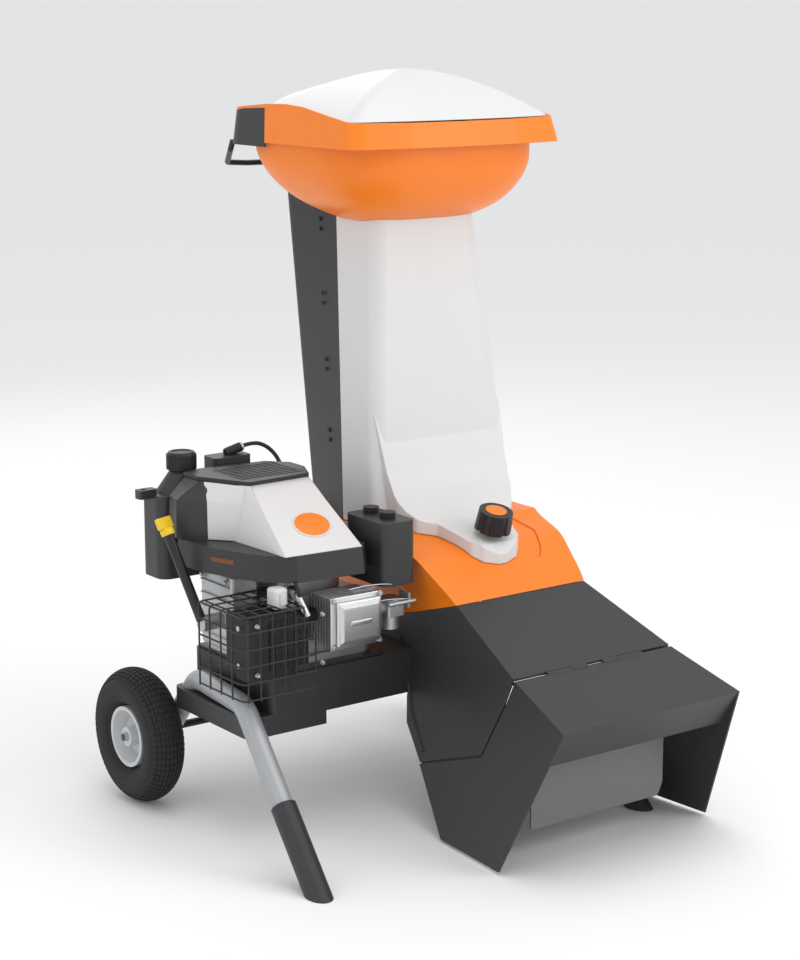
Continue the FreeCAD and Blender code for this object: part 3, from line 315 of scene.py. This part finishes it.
# %% Finishes of the chipper
FINISHES = {
    "tyre_rubber": finish("tyre_rubber", (0.022, 0.022, 0.023), 0.72, grain=0.0012, grain_depth=0.3,
                          marks=0.2, tone=0.25, wear=0.2, worn=(0.09, 0.088, 0.085), specular=0.35),
    "rim_paint": finish("rim_paint", (0.56, 0.57, 0.58), 0.42, grain=0.0015, grain_depth=0.06, wear=0.2),
    "black_steel": finish("black_steel", (0.014, 0.014, 0.015), 0.42, grain=0.0009, grain_depth=0.15,
                          wear=0.3, worn=(0.2, 0.2, 0.2)),
    "tube_paint": finish("tube_paint", (0.40, 0.41, 0.42), 0.36, metal=0.35, grain=0.0010, grain_depth=0.1,
                         tone=0.06, wear=0.3, worn=(0.6, 0.6, 0.6)),
    "black_plastic": finish("black_plastic", (0.026, 0.027, 0.029), 0.46, grain=0.0011, grain_depth=0.32,
                            tone=0.14, marks=0.14, edge=0.0018, wear=0.32, worn=(0.12, 0.12, 0.12)),
    "dark_plastic": finish("dark_plastic", (0.024, 0.025, 0.027), 0.50, grain=0.0011, grain_depth=0.3,
                           tone=0.12, edge=0.0015, wear=0.3, worn=(0.11, 0.11, 0.11)),
    "engine_plastic": finish("engine_plastic", (0.026, 0.027, 0.029), 0.42, grain=0.0009, grain_depth=0.3,
                             tone=0.12, edge=0.0022, wear=0.35, worn=(0.13, 0.13, 0.13)),
    "black_moulding": finish("black_moulding", (0.010, 0.010, 0.011), 0.42, grain=0.0008, grain_depth=0.2,
                             edge=0.0012, wear=0.35, worn=(0.1, 0.1, 0.1)),
    "orange_plastic": finish("orange_plastic", (0.93, 0.215, 0.003), 0.38, grain=0.0013, grain_depth=0.08,
                             tone=0.045, marks=0.1, edge=0.0025, wear=0.3, worn=(1.0, 0.36, 0.07)),
    "white_plastic": finish("white_plastic", (0.70, 0.70, 0.695), 0.34, grain=0.0014, grain_depth=0.06,
                            tone=0.03, marks=0.1, edge=0.0025, wear=0.1, worn=(0.9, 0.9, 0.9)),
    "flap_plastic": finish("flap_plastic", (0.16, 0.16, 0.165), 0.45, grain=0.0012, grain_depth=0.2,
                           wear=0.35, worn=(0.3, 0.3, 0.3)),
    "bright_steel": finish("bright_steel", (0.58, 0.58, 0.59), 0.3, metal=1.0, grain=0.0006, grain_depth=0.1,
                           marks=0.25, tone=0.1, edge=0.0006, wear=0.2),
    "cast_iron": finish("cast_iron", (0.14, 0.14, 0.145), 0.6, metal=0.8, grain=0.0014, grain_depth=0.6,
                        tone=0.2, wear=0.4, worn=(0.4, 0.4, 0.4)),
    "cast_aluminium": finish("cast_aluminium", (0.50, 0.51, 0.52), 0.46, metal=0.9, grain=0.0013,
                             grain_depth=0.5, tone=0.16, marks=0.3, edge=0.0012, wear=0.4,
                             worn=(0.8, 0.8, 0.8)),
    "polished_aluminium": finish("polished_aluminium", (0.66, 0.66, 0.67), 0.34, metal=1.0, grain=0.0007,
                                 grain_depth=0.05, marks=0.12, tone=0.05, edge=0.0016, wear=0.15),
    "heat_black": finish("heat_black", (0.013, 0.013, 0.013), 0.62, grain=0.0012, grain_depth=0.4,
                         tone=0.3, wear=0.35, worn=(0.12, 0.09, 0.07)),
    "belt_rubber": finish("belt_rubber", (0.016, 0.016, 0.016), 0.8, grain=0.0008, grain_depth=0.4),
    "black_rubber": finish("black_rubber", (0.014, 0.014, 0.015), 0.6, grain=0.001, grain_depth=0.25),
    "yellow_plastic": finish("yellow_plastic", (0.86, 0.58, 0.02), 0.33, grain=0.001, grain_depth=0.1,
                             tone=0.05, edge=0.001, wear=0.2),
}

# %% Give every CAD node and the hose a finish
for part in frame["record"]["subparts"]:
    shape = NODES[part["node"]]
    shape.data.materials.clear()
    shape.data.materials.append(FINISHES[part["material_slot"]])
hose_line.materials.append(FINISHES["black_rubber"])
print(len(NODES), "nodes finished")

# %% [markdown]
# ## Ways of modelling
# Four small helpers cover nearly every piece: a rounded block, a turned piece, round wires, and faces picked
# by where they lie.  Each leaves its object at the origin with the place in the mesh, so patterns stay put.


# %% Edit-mode helpers
def edit(shape):
    deselect_all()
    shape.select_set(True)
    bpy.context.view_layer.objects.active = shape
    bpy.ops.object.mode_set(mode="EDIT")
    bpy.ops.mesh.select_mode(type="FACE")


def pick_faces(shape, test):
    """Select only the faces whose centre and normal pass the test, and say how many there are."""
    edit(shape)
    bpy.ops.mesh.select_all(action="DESELECT")
    bpy.ops.object.mode_set(mode="OBJECT")
    count = 0
    for face in shape.data.polygons:
        face.select = bool(test(face.center, face.normal))
        count += face.select
    bpy.ops.object.mode_set(mode="EDIT")
    return count


def hand_over(shape, name, body, slot_name, angle=32, look=None):
    """Apply the place, smooth the round faces, and give the piece its name, finish and body."""
    edit(shape)
    bpy.ops.mesh.select_all(action="SELECT")
    bpy.ops.mesh.normals_make_consistent(inside=False)
    bpy.ops.object.mode_set(mode="OBJECT")
    bpy.ops.object.transform_apply(location=True, rotation=True, scale=True)
    bpy.ops.object.shade_smooth_by_angle(angle=math.radians(angle))
    shape.name = name
    shape.data.materials.clear()
    shape.data.materials.append(look or FINISHES[slot_name])
    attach(shape, body)
    return shape


def joined(pieces):
    deselect_all()
    for piece in pieces:
        piece.select_set(True)
    bpy.context.view_layer.objects.active = pieces[0]
    bpy.ops.object.join()
    return bpy.context.object


# %% Blocks, turned pieces and wires
def block(low, high, bevel=0.002, segments=3):
    """Rounded block between two corners."""
    deselect_all()
    middle = [(a + b) / 2 for a, b in zip(low, high)]
    bpy.ops.mesh.primitive_cube_add(size=1, location=middle, scale=[b - a for a, b in zip(low, high)])
    bpy.ops.object.transform_apply(location=True, rotation=True, scale=True)
    shape = bpy.context.object
    edit(shape)
    bpy.ops.mesh.select_all(action="SELECT")
    bpy.ops.mesh.bevel(offset=bevel, segments=segments, affect="EDGES")
    bpy.ops.object.mode_set(mode="OBJECT")
    return shape


def turned(profile, base, direction=(0, 0, 1), sides=48):
    """Turned piece: a disc, extruded and scaled through pairs of radius and height along its axis."""
    deselect_all()
    bpy.ops.mesh.primitive_circle_add(vertices=sides, radius=profile[0][0], fill_type="NGON",
                                      location=(0, 0, profile[0][1]))
    bpy.ops.object.transform_apply(location=True, rotation=True, scale=True)
    shape = bpy.context.object
    edit(shape)
    bpy.ops.mesh.select_all(action="SELECT")
    for (radius, height), (next_radius, next_height) in zip(profile, profile[1:]):
        bpy.ops.mesh.extrude_region_move(TRANSFORM_OT_translate={"value": (0, 0, next_height - height)})
        grow = next_radius / radius
        bpy.ops.transform.resize(value=(grow, grow, 1), center_override=(0, 0, next_height))
    bpy.ops.object.mode_set(mode="OBJECT")
    shape.rotation_euler = Vector(direction).to_track_quat("Z", "Y").to_euler()
    shape.location = base
    bpy.ops.object.transform_apply(location=True, rotation=True, scale=True)
    return shape


def wires(paths, radius, smooth=False):
    """Round wires with capped ends, bent as a curve and then turned into a mesh."""
    line = bpy.data.curves.new("wires", "CURVE")
    line.dimensions = "3D"
    line.bevel_depth = radius
    line.bevel_resolution = 2
    line.resolution_u = 6
    line.use_fill_caps = True
    for path in paths:
        spline = line.splines.new("NURBS" if smooth else "POLY")
        spline.points.add(len(path) - 1)
        for point, place in zip(spline.points, path):
            point.co = (*place, 1)
        spline.order_u = 3
        spline.use_endpoint_u = True
    shape = bpy.data.objects.new("wires", line)
    bpy.context.collection.objects.link(shape)
    deselect_all()
    shape.select_set(True)
    bpy.context.view_layer.objects.active = shape
    bpy.ops.object.convert(target="MESH")
    return bpy.context.object


def on_surface(node, start, direction):
    """Where a straight line first meets a CAD node, and which way the surface faces there."""
    hit, place, normal, _ = NODES[node].ray_cast(Vector(start), Vector(direction).normalized())
    print(node, "met" if hit else "missed", [round(v, 3) for v in place])
    return place, normal


# %% [markdown]
# ## Tyres
# A garden tyre is a round carcass whose tread is cut into small blocks, with two fine ridges on each side
# wall.  A torus gives the carcass.  Insetting its tread faces one by one and raising them makes the blocks
# and grooves at once, which is how the mould does it too.


# %% Tyres
CARCASS_RADIUS, RING_INSET = 0.0385, 0.041
RIDGE_REACHES, RIDGE_HEIGHT = (0.1095, 0.0795), 0.0009
GROOVE_HALF, TREAD_HEIGHT = 0.0013, 0.0024


def tyre(side):
    low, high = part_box(side + "_tyre")
    centre = Vector([(a + b) / 2 for a, b in zip(low, high)])
    radius = (high[2] - low[2]) / 2
    deselect_all()
    bpy.ops.mesh.primitive_torus_add(major_radius=radius - RING_INSET, minor_radius=CARCASS_RADIUS,
                                     major_segments=64, minor_segments=32, location=centre,
                                     rotation=(0, math.pi / 2, 0))
    bpy.ops.object.transform_apply(location=True, rotation=True, scale=True)
    shape = bpy.context.object
    edit(shape)
    bpy.ops.mesh.select_all(action="SELECT")
    widen = (high[0] - low[0]) / (2 * CARCASS_RADIUS)
    bpy.ops.transform.resize(value=(widen, 1, 1), center_override=centre)

    def out(point):
        return math.hypot(point.y - centre.y, point.z - centre.z)

    for reach in RIDGE_REACHES:
        pick_faces(shape, lambda c, n: abs(out(c) - reach) < 0.0035 and abs(n.x) > 0.8)
        bpy.ops.mesh.extrude_region_shrink_fatten(TRANSFORM_OT_shrink_fatten={"value": RIDGE_HEIGHT})
    blocks = pick_faces(shape, lambda c, n: out(c) > radius - 0.022 and abs(n.x) < 0.86)
    bpy.ops.mesh.inset(thickness=GROOVE_HALF, use_individual=True)
    bpy.ops.mesh.extrude_region_shrink_fatten(TRANSFORM_OT_shrink_fatten={"value": TREAD_HEIGHT})
    print(side, "tyre", blocks, "tread blocks")
    hand_over(shape, side + "_tyre_treaded", side + "_wheel", "tyre_rubber", 40)
    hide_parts(side + "_tyre")


for side in ("left", "right"):
    tyre(side)

# %% [markdown]
# ## Muffler basket
# The basket is bent from round wire about 4 mm thick and welded at each crossing.  Its level wires turn the
# corner with a bend, so each one is a single path round the front and side.


# %% Muffler basket
def eased(path, radius):
    """The same path with each inner corner replaced by a short bend."""
    points = [Vector(path[0])]
    for before, corner, after in zip(path, path[1:], path[2:]):
        corner = Vector(corner)
        come = corner + (Vector(before) - corner).normalized() * radius
        leave = corner + (Vector(after) - corner).normalized() * radius
        for step in range(5):
            part = step / 4
            points.append(come * (1 - part) ** 2 + corner * 2 * part * (1 - part) + leave * part ** 2)
    return points + [Vector(path[-1])]


WIRE_RADIUS, LEVEL_STEP, LEVELS, FOOT_LENGTH = 0.0019, 0.033, 5, 0.004
low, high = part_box("muffler_guard")
LEFT, FRONT, FLOOR_Z = low[0] + WIRE_RADIUS, low[1] + WIRE_RADIUS, low[2] + FOOT_LENGTH
RIGHT, BACK, ROOF_Z = high[0] - WIRE_RADIUS, high[1] - WIRE_RADIUS, high[2] - WIRE_RADIUS
SHOULDER_X = RIGHT - 0.026
FOOT_Z = FLOOR_Z - FOOT_LENGTH
paths = []
for level in range(LEVELS):
    z = FLOOR_Z + LEVEL_STEP * level
    paths.append(eased([(RIGHT, FRONT, z), (LEFT, FRONT, z), (LEFT, BACK, z)], 0.012))
paths.append(eased([(SHOULDER_X, FRONT, ROOF_Z), (LEFT, FRONT, ROOF_Z), (LEFT, BACK, ROOF_Z)], 0.012))
for x in (LEFT + 0.012, LEFT + 0.040, LEFT + 0.068, LEFT + 0.096, LEFT + 0.120, SHOULDER_X):
    paths.append(eased([(x, FRONT, FOOT_Z), (x, FRONT, ROOF_Z), (x, BACK, ROOF_Z)], 0.010))
paths.append([(RIGHT, FRONT, FOOT_Z), (RIGHT, FRONT, FLOOR_Z + LEVEL_STEP * (LEVELS - 1))])
for y in (FRONT + 0.039, FRONT + 0.079, FRONT + 0.119, BACK):
    paths.append(eased([(LEFT, y, FOOT_Z), (LEFT, y, ROOF_Z), (SHOULDER_X, y, ROOF_Z)], 0.010))
basket = hand_over(wires(paths, WIRE_RADIUS), "muffler_basket", "chassis", "black_steel", 60)
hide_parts("muffler_guard")
print("basket of", len(paths), "wires")

# %% [markdown]
# ## Muffler face
# Behind the basket a pressed steel screen covers the muffler, with rows of windows that let the heat out.
# A grid of faces, inset one by one and pushed in, gives the pressed windows and the bars between them.

# %% Muffler face
low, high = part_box("muffler")
deselect_all()
bpy.ops.mesh.primitive_grid_add(x_subdivisions=6, y_subdivisions=5, size=1)
screen = bpy.context.object
edit(screen)
bpy.ops.mesh.select_all(action="SELECT")
bpy.ops.transform.resize(value=(0.088, 0.096, 1), center_override=(0, 0, 0))
bpy.ops.object.mode_set(mode="OBJECT")
screen.rotation_euler = (math.pi / 2, 0, 0)
screen.location = ((low[0] + high[0]) / 2 - 0.004, low[1] - 0.003, (low[2] + high[2]) / 2 + 0.004)
bpy.ops.object.transform_apply(location=True, rotation=True, scale=True)
edit(screen)
bpy.ops.mesh.select_all(action="SELECT")
bpy.ops.mesh.inset(thickness=0.0024, use_individual=True)
bpy.ops.mesh.extrude_region_shrink_fatten(TRANSFORM_OT_shrink_fatten={"value": -0.002})
bpy.ops.object.mode_set(mode="OBJECT")
hand_over(screen, "muffler_screen", "chassis", "heat_black")
STUD = [(0.0052, 0), (0.0052, 0.004), (0.0040, 0.005), (0.0040, 0.0085), (0.0030, 0.0095)]
studs = []
for x in (low[0] + 0.012, high[0] - 0.020):
    for z in (low[2] + 0.016, high[2] - 0.012):
        studs.append(turned(STUD, (x, low[1] - 0.002, z), (0, -1, 0), 6))
hand_over(joined(studs), "muffler_studs", "chassis", "bright_steel")

# %% [markdown]
# ## Valve cover
# The valve cover is the brightest casting on the engine.  It is a bevelled flange with a domed lid whose
# sides slope in, and one plain raised bar across its face.

# %% Valve cover
low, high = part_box("valve_cover")
MID_X, MID_Z = (low[0] + high[0]) / 2, (low[2] + high[2]) / 2
FLANGE_THICK, LID_INSET, BAR_HALF = 0.006, 0.008, 0.024
flange = block((low[0], high[1] - FLANGE_THICK, low[2]), (high[0], high[1], high[2]), 0.0022)
lid = block((low[0] + LID_INSET, low[1] + 0.006, low[2] + LID_INSET),
            (high[0] - LID_INSET, high[1] - 0.004, high[2] - LID_INSET), 0.005, 4)
pick_faces(lid, lambda c, n: n.y < -0.99)
bpy.ops.mesh.inset(thickness=0.0015)
bpy.ops.mesh.extrude_region_move(TRANSFORM_OT_translate={"value": (0, -0.0055, 0)})
bpy.ops.transform.resize(value=(0.91, 1, 0.89), center_override=(MID_X, low[1], MID_Z))
bpy.ops.mesh.inset(thickness=0.0015)
bpy.ops.mesh.extrude_region_move(TRANSFORM_OT_translate={"value": (0, -0.0004, 0)})
bpy.ops.object.mode_set(mode="OBJECT")
bar = block((MID_X - BAR_HALF, low[1] - 0.0004, MID_Z - 0.003),
            (MID_X + BAR_HALF, low[1] + 0.003, MID_Z + 0.005), 0.0009)
rocker_lid = hand_over(joined([flange, lid, bar]), "valve_cover_cast", "chassis", "polished_aluminium")
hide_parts("valve_cover")
SCREW = [(0.0062, 0), (0.0062, 0.0014), (0.0045, 0.0015), (0.0045, 0.006), (0.0036, 0.0068)]
screws = []
for x in (low[0] + 0.006, high[0] - 0.006):
    for z in (low[2] + 0.006, high[2] - 0.006):
        screws.append(turned(SCREW, (x, high[1] - FLANGE_THICK, z), (0, -1, 0), 6))
hand_over(joined(screws), "valve_cover_screws", "chassis", "bright_steel")

# %% [markdown]
# ## Fuel cap and dipstick
# The fuel cap has a grip of raised ribs round its skirt and a shallow dish on top.  The dipstick has a yellow
# cap with two wings, bright so that it is easy to find.

# %% Fuel cap
low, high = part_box("fuel_cap")
middle = ((low[0] + high[0]) / 2, (low[1] + high[1]) / 2, low[2])
CAP_SIDES, RIB_HEIGHT = 72, 0.0015
CAP_RADIUS, tall = (high[0] - low[0]) / 2 - 0.0016, high[2] - low[2]
cap = turned([(CAP_RADIUS * 0.93, 0), (CAP_RADIUS, 0.002), (CAP_RADIUS, tall - 0.006),
              (CAP_RADIUS * 0.90, tall - 0.001), (CAP_RADIUS * 0.70, tall),
              (CAP_RADIUS * 0.60, tall - 0.0025), (CAP_RADIUS * 0.2, tall - 0.0025)], middle, sides=CAP_SIDES)


def on_rib(centre, normal):
    """True for every second side face of the cap."""
    angle = math.degrees(math.atan2(centre.y - middle[1], centre.x - middle[0]))
    return abs(normal.z) < 0.1 and round(angle / (360 / CAP_SIDES) - 0.5) % 2 == 0


ribs = pick_faces(cap, on_rib)
bpy.ops.mesh.extrude_region_shrink_fatten(TRANSFORM_OT_shrink_fatten={"value": RIB_HEIGHT})
hand_over(cap, "fuel_cap_ribbed", "tank_cap", "black_moulding", 40)
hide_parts("fuel_cap")
print("fuel cap with", ribs, "ribs")

# %% Dipstick
DIP_FOOT, DIP_HEAD = Vector((-0.394, 0.112, 0.426)), Vector((-0.422, 0.184, 0.588))
ALONG = (DIP_HEAD - DIP_FOOT).normalized()
BLADE_LENGTH = 0.172
stick = turned([(0.0025, 0), (0.0025, 0.159), (0.0068, 0.160), (0.0068, BLADE_LENGTH), (0.0135, 0.173),
                (0.0140, 0.176), (0.0140, 0.184), (0.0110, 0.187), (0.0060, 0.188)],
               DIP_HEAD - ALONG * BLADE_LENGTH, ALONG, 32)
wing = block((-0.0215, -0.0048, 0), (0.0215, 0.0048, 0.024), 0.0035, 4)
pick_faces(wing, lambda c, n: n.z > 0.99)
bpy.ops.transform.resize(value=(1.02, 0.55, 1), center_override=(0, 0, 0.024))
bpy.ops.object.mode_set(mode="OBJECT")
wing.rotation_euler = ALONG.to_track_quat("Z", "Y").to_euler()
wing.location = DIP_HEAD + ALONG * 0.0135
bpy.ops.object.transform_apply(location=True, rotation=True, scale=True)
dip_cap = hand_over(joined([stick, wing]), "dipstick_winged", "oil_dipstick", "yellow_plastic", 40)
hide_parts("dipstick")

# %% [markdown]
# ## Blower housing details
# The front facet of the white housing carries a plain oval badge with a pale rim, and the band below it has
# a thin orange strip, darkened with painted shade.  Both lie on sloping plastic, so their places come from a
# straight line cast at the part.


# %% Badge and strip
def flat_badge(node, start, direction, width, height, thick, slot_name, name):
    """Thin oval plate lying on the surface that a line meets."""
    place, normal = on_surface(node, start, direction)
    shape = turned([(0.5, 0), (0.5, 0.7), (0.47, 1.0), (0.2, 1.02)], (0, 0, 0), sides=56)
    shape.scale = (width, height, thick)
    shape.rotation_euler = normal.to_track_quat("Z", "Y").to_euler()
    shape.location = place - normal * 0.0003
    return hand_over(shape, name, "chassis", slot_name, 40)


BADGE_LINE = ((-0.211, -0.4, 0.617), (0, 1, 0))
flat_badge("shroud_panel", *BADGE_LINE, 0.084, 0.066, 0.0018, "white_plastic", "badge_rim")
flat_badge("shroud_panel", *BADGE_LINE, 0.077, 0.059, 0.0026, "orange_plastic", "badge_face")

# %% Side facet of the white shell
# Each row gives two corners of the facet, from the dark seam to the front edge, at one height.
FACET_ROWS = [((-0.349, 0.155), (-0.311, 0.109), 0.5755), ((-0.349, 0.156), (-0.302, 0.098), 0.651),
              ((-0.341, 0.180), (-0.2985, 0.093), 0.6865)]
deselect_all()
bpy.ops.mesh.primitive_grid_add(x_subdivisions=1, y_subdivisions=2, size=1)
side_shell = bpy.context.object
corner_places = [(*corner, row[2]) for row in FACET_ROWS for corner in row[:2]]
for vertex, place in zip(side_shell.data.vertices, corner_places):
    vertex.co = place
edit(side_shell)
bpy.ops.mesh.select_all(action="SELECT")
bpy.ops.mesh.normals_make_consistent(inside=False)
bpy.ops.object.mode_set(mode="OBJECT")
if side_shell.data.polygons[0].normal.x > 0:
    side_shell.data.flip_normals()
bpy.ops.object.modifier_add(type="SOLIDIFY")
side_shell.modifiers["Solidify"].thickness = 0.0024
side_shell.modifiers["Solidify"].offset = 1
bpy.ops.object.modifier_apply(modifier="Solidify")
edit(side_shell)
bpy.ops.mesh.select_all(action="SELECT")
bpy.ops.mesh.bevel(offset=0.0007, segments=2, affect="EDGES")
hand_over(side_shell, "shell_side_facet", "chassis", "white_plastic", 20)

# %% Orange strip, darkened as painted shade
# Painted shade: the strip's orange is darkened to about a fifth to stand for the shade on the band's left
# side.
orange_painted_shade = finish("orange_strip_painted_shade", (0.20, 0.045, 0.008), 0.35, grain=0.001, grain_depth=0.05, edge=0.0008,
               wear=0.2)
place, normal = on_surface("cowl", (-0.7, 0.070, 0.552), (1, 0, 0))
strip = block((-0.029, -0.0045, -0.0010), (0.029, 0.0045, 0.0012), 0.0009)
strip.rotation_euler = normal.to_track_quat("Z", "Y").to_euler()
strip.location = place
hand_over(strip, "band_strip", "chassis", "orange_plastic", look=orange_painted_shade)

# %% [markdown]
# ## Vent boot
# The rubber boot that holds the hose is ribbed like a bellows and tied with a steel clip.

# %% Vent boot
BOOT_START, BOOT_AXIS = Vector((-0.222, 0.292, 0.712)), Vector((1, 0, 0.24)).normalized()
FOLDS, FOLD_STEP = 6, 0.0062
boot_profile = [(0.0080, 0)]
for fold in range(FOLDS):
    along = 0.004 + FOLD_STEP * fold
    boot_profile += [(0.0098, along), (0.0098, along + 0.0020), (0.0081, along + 0.0032)]
boot_profile += [(0.0086, 0.0415), (0.0060, 0.0425)]
hand_over(turned(boot_profile, BOOT_START, BOOT_AXIS, 32), "vent_boot_ribbed", "chassis", "black_rubber", 40)
clip = turned([(0.0089, 0), (0.0093, 0.0008), (0.0093, 0.0042), (0.0089, 0.005)],
              BOOT_START + BOOT_AXIS * 0.0365, BOOT_AXIS, 32)
hand_over(clip, "vent_boot_clip", "chassis", "bright_steel", 40)

# %% [markdown]
# ## Plug cap and linkage
# The spark plug hides in a steel shield with a rubber collar.  Beside it the governor rods and a fine return
# spring run to the carburettor.  They are bent wires, drawn as such.

# %% Plug collar and elbow
low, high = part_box("spark_plug_boot")
collar_place = Vector((low[0] + 0.012, low[1] + 0.006, high[2] - 0.012))
ELBOW_BENDS = ((0, 0, -0.004), (-0.004, -0.004, 0.008), (-0.003, 0.012, 0.020), (0.006, 0.034, 0.026))
elbow = wires([[collar_place + Vector(bend) for bend in ELBOW_BENDS]], 0.0042, True)
hand_over(elbow, "plug_elbow", "chassis", "black_rubber", 60)

duct = block((-0.335, -0.062, 0.474), (-0.303, -0.030, 0.516), 0.007, 4)
pick_faces(duct, lambda c, n: n.y < -0.99)
bpy.ops.mesh.inset(thickness=0.003)
bpy.ops.mesh.extrude_region_move(TRANSFORM_OT_translate={"value": (0.002, -0.004, 0)})
bpy.ops.object.mode_set(mode="OBJECT")
hand_over(duct, "plug_duct", "chassis", "white_plastic")

# %% [markdown]
# ## Crankcase side
# Left of the crankcase a ribbed side casting closes the timing end.  It fills the space behind the basket,
# and the dipstick tube comes up beside it.

# %% Crankcase side
SIDE_LOW, SIDE_HIGH = (-0.350, 0.068, 0.3575), (-0.288, 0.188, 0.516)
BOSS = [(0.008, 0), (0.0075, 0.004), (0.0050, 0.0045), (0.0050, 0.009), (0.0040, 0.010)]
FIN_STEP, FIN_THICK, FIN_REACH = 0.027, 0.004, 0.005
casting = [block(SIDE_LOW, SIDE_HIGH, 0.008, 4)]
for step in range(5):
    z = SIDE_LOW[2] + 0.024 + FIN_STEP * step
    casting.append(block((SIDE_LOW[0] - FIN_REACH, SIDE_LOW[1] + 0.008, z),
                         (SIDE_HIGH[0], SIDE_HIGH[1] - 0.008, z + FIN_THICK), 0.0015, 2))
for y in (SIDE_LOW[1] + 0.016, SIDE_HIGH[1] - 0.016):
    casting.append(turned(BOSS, (SIDE_LOW[0] + 0.001, y, SIDE_HIGH[2] - 0.014), (-1, 0, 0), 6))
hand_over(joined(casting), "crankcase_side", "chassis", "cast_aluminium")

# %% Governor rods and spring
low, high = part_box("carburettor")
REACH_Y = low[1] + 0.010
rod_paths = [[(MID_X - 0.02, REACH_Y - 0.004, MID_Z + 0.066), (MID_X + 0.02, REACH_Y - 0.006, MID_Z + 0.071),
              (high[0] - 0.03, REACH_Y - 0.002, MID_Z + 0.058),
              (high[0] - 0.02, REACH_Y + 0.004, MID_Z + 0.040)],
             [(MID_X + 0.055, REACH_Y, MID_Z + 0.030), (MID_X + 0.075, REACH_Y - 0.006, MID_Z + 0.034),
              (high[0] - 0.01, REACH_Y - 0.004, MID_Z + 0.024)]]
COIL_RADIUS, COIL_STEP, COIL_POINTS = 0.0032, 0.0006, 85
coil_path = []
for step in range(COIL_POINTS):
    angle = step * math.pi / 4
    coil_path.append((MID_X - 0.010 + step * COIL_STEP, REACH_Y - 0.002 + COIL_RADIUS * math.cos(angle),
                      MID_Z + 0.060 + COIL_RADIUS * math.sin(angle)))
linkage = joined([wires(rod_paths, 0.0013, True), wires([coil_path], 0.0005)])
hand_over(linkage, "governor_rods", "chassis", "bright_steel", 60)

# %% [markdown]
# ## Body rib
# A raised rib runs down the side of the chute body just in front of its rear edge and stiffens the panel.
# It follows the leaning wall, so each of its points is found on the wall itself.

# %% Body rib
RIB_LINE = [(0.020, 0.348), (-0.022, 0.312), (-0.043, 0.254), (-0.060, 0.206), (-0.122, 0.150)]
RIB_FORWARD, RIB_RADIUS, WELL_OUTSIDE = 0.012, 0.0036, 0.9
rib_paths = []
for side, direction in ((-1, (1, 0, 0)), (1, (-1, 0, 0))):
    path = []
    for y, z in RIB_LINE:
        start = Vector((side * WELL_OUTSIDE, y - RIB_FORWARD, z))
        met, place, *_ = NODES["chute_body"].ray_cast(start, Vector(direction))
        if met:
            path.append(place)
    rib_paths.append(path)
print("rib points", [len(path) for path in rib_paths])
body_ribs = wires([path for path in rib_paths if len(path) > 2], RIB_RADIUS, True)
hand_over(body_ribs, "body_ribs", "chassis", "black_plastic", 60)


# %% Update the scene
bpy.context.view_layer.update()
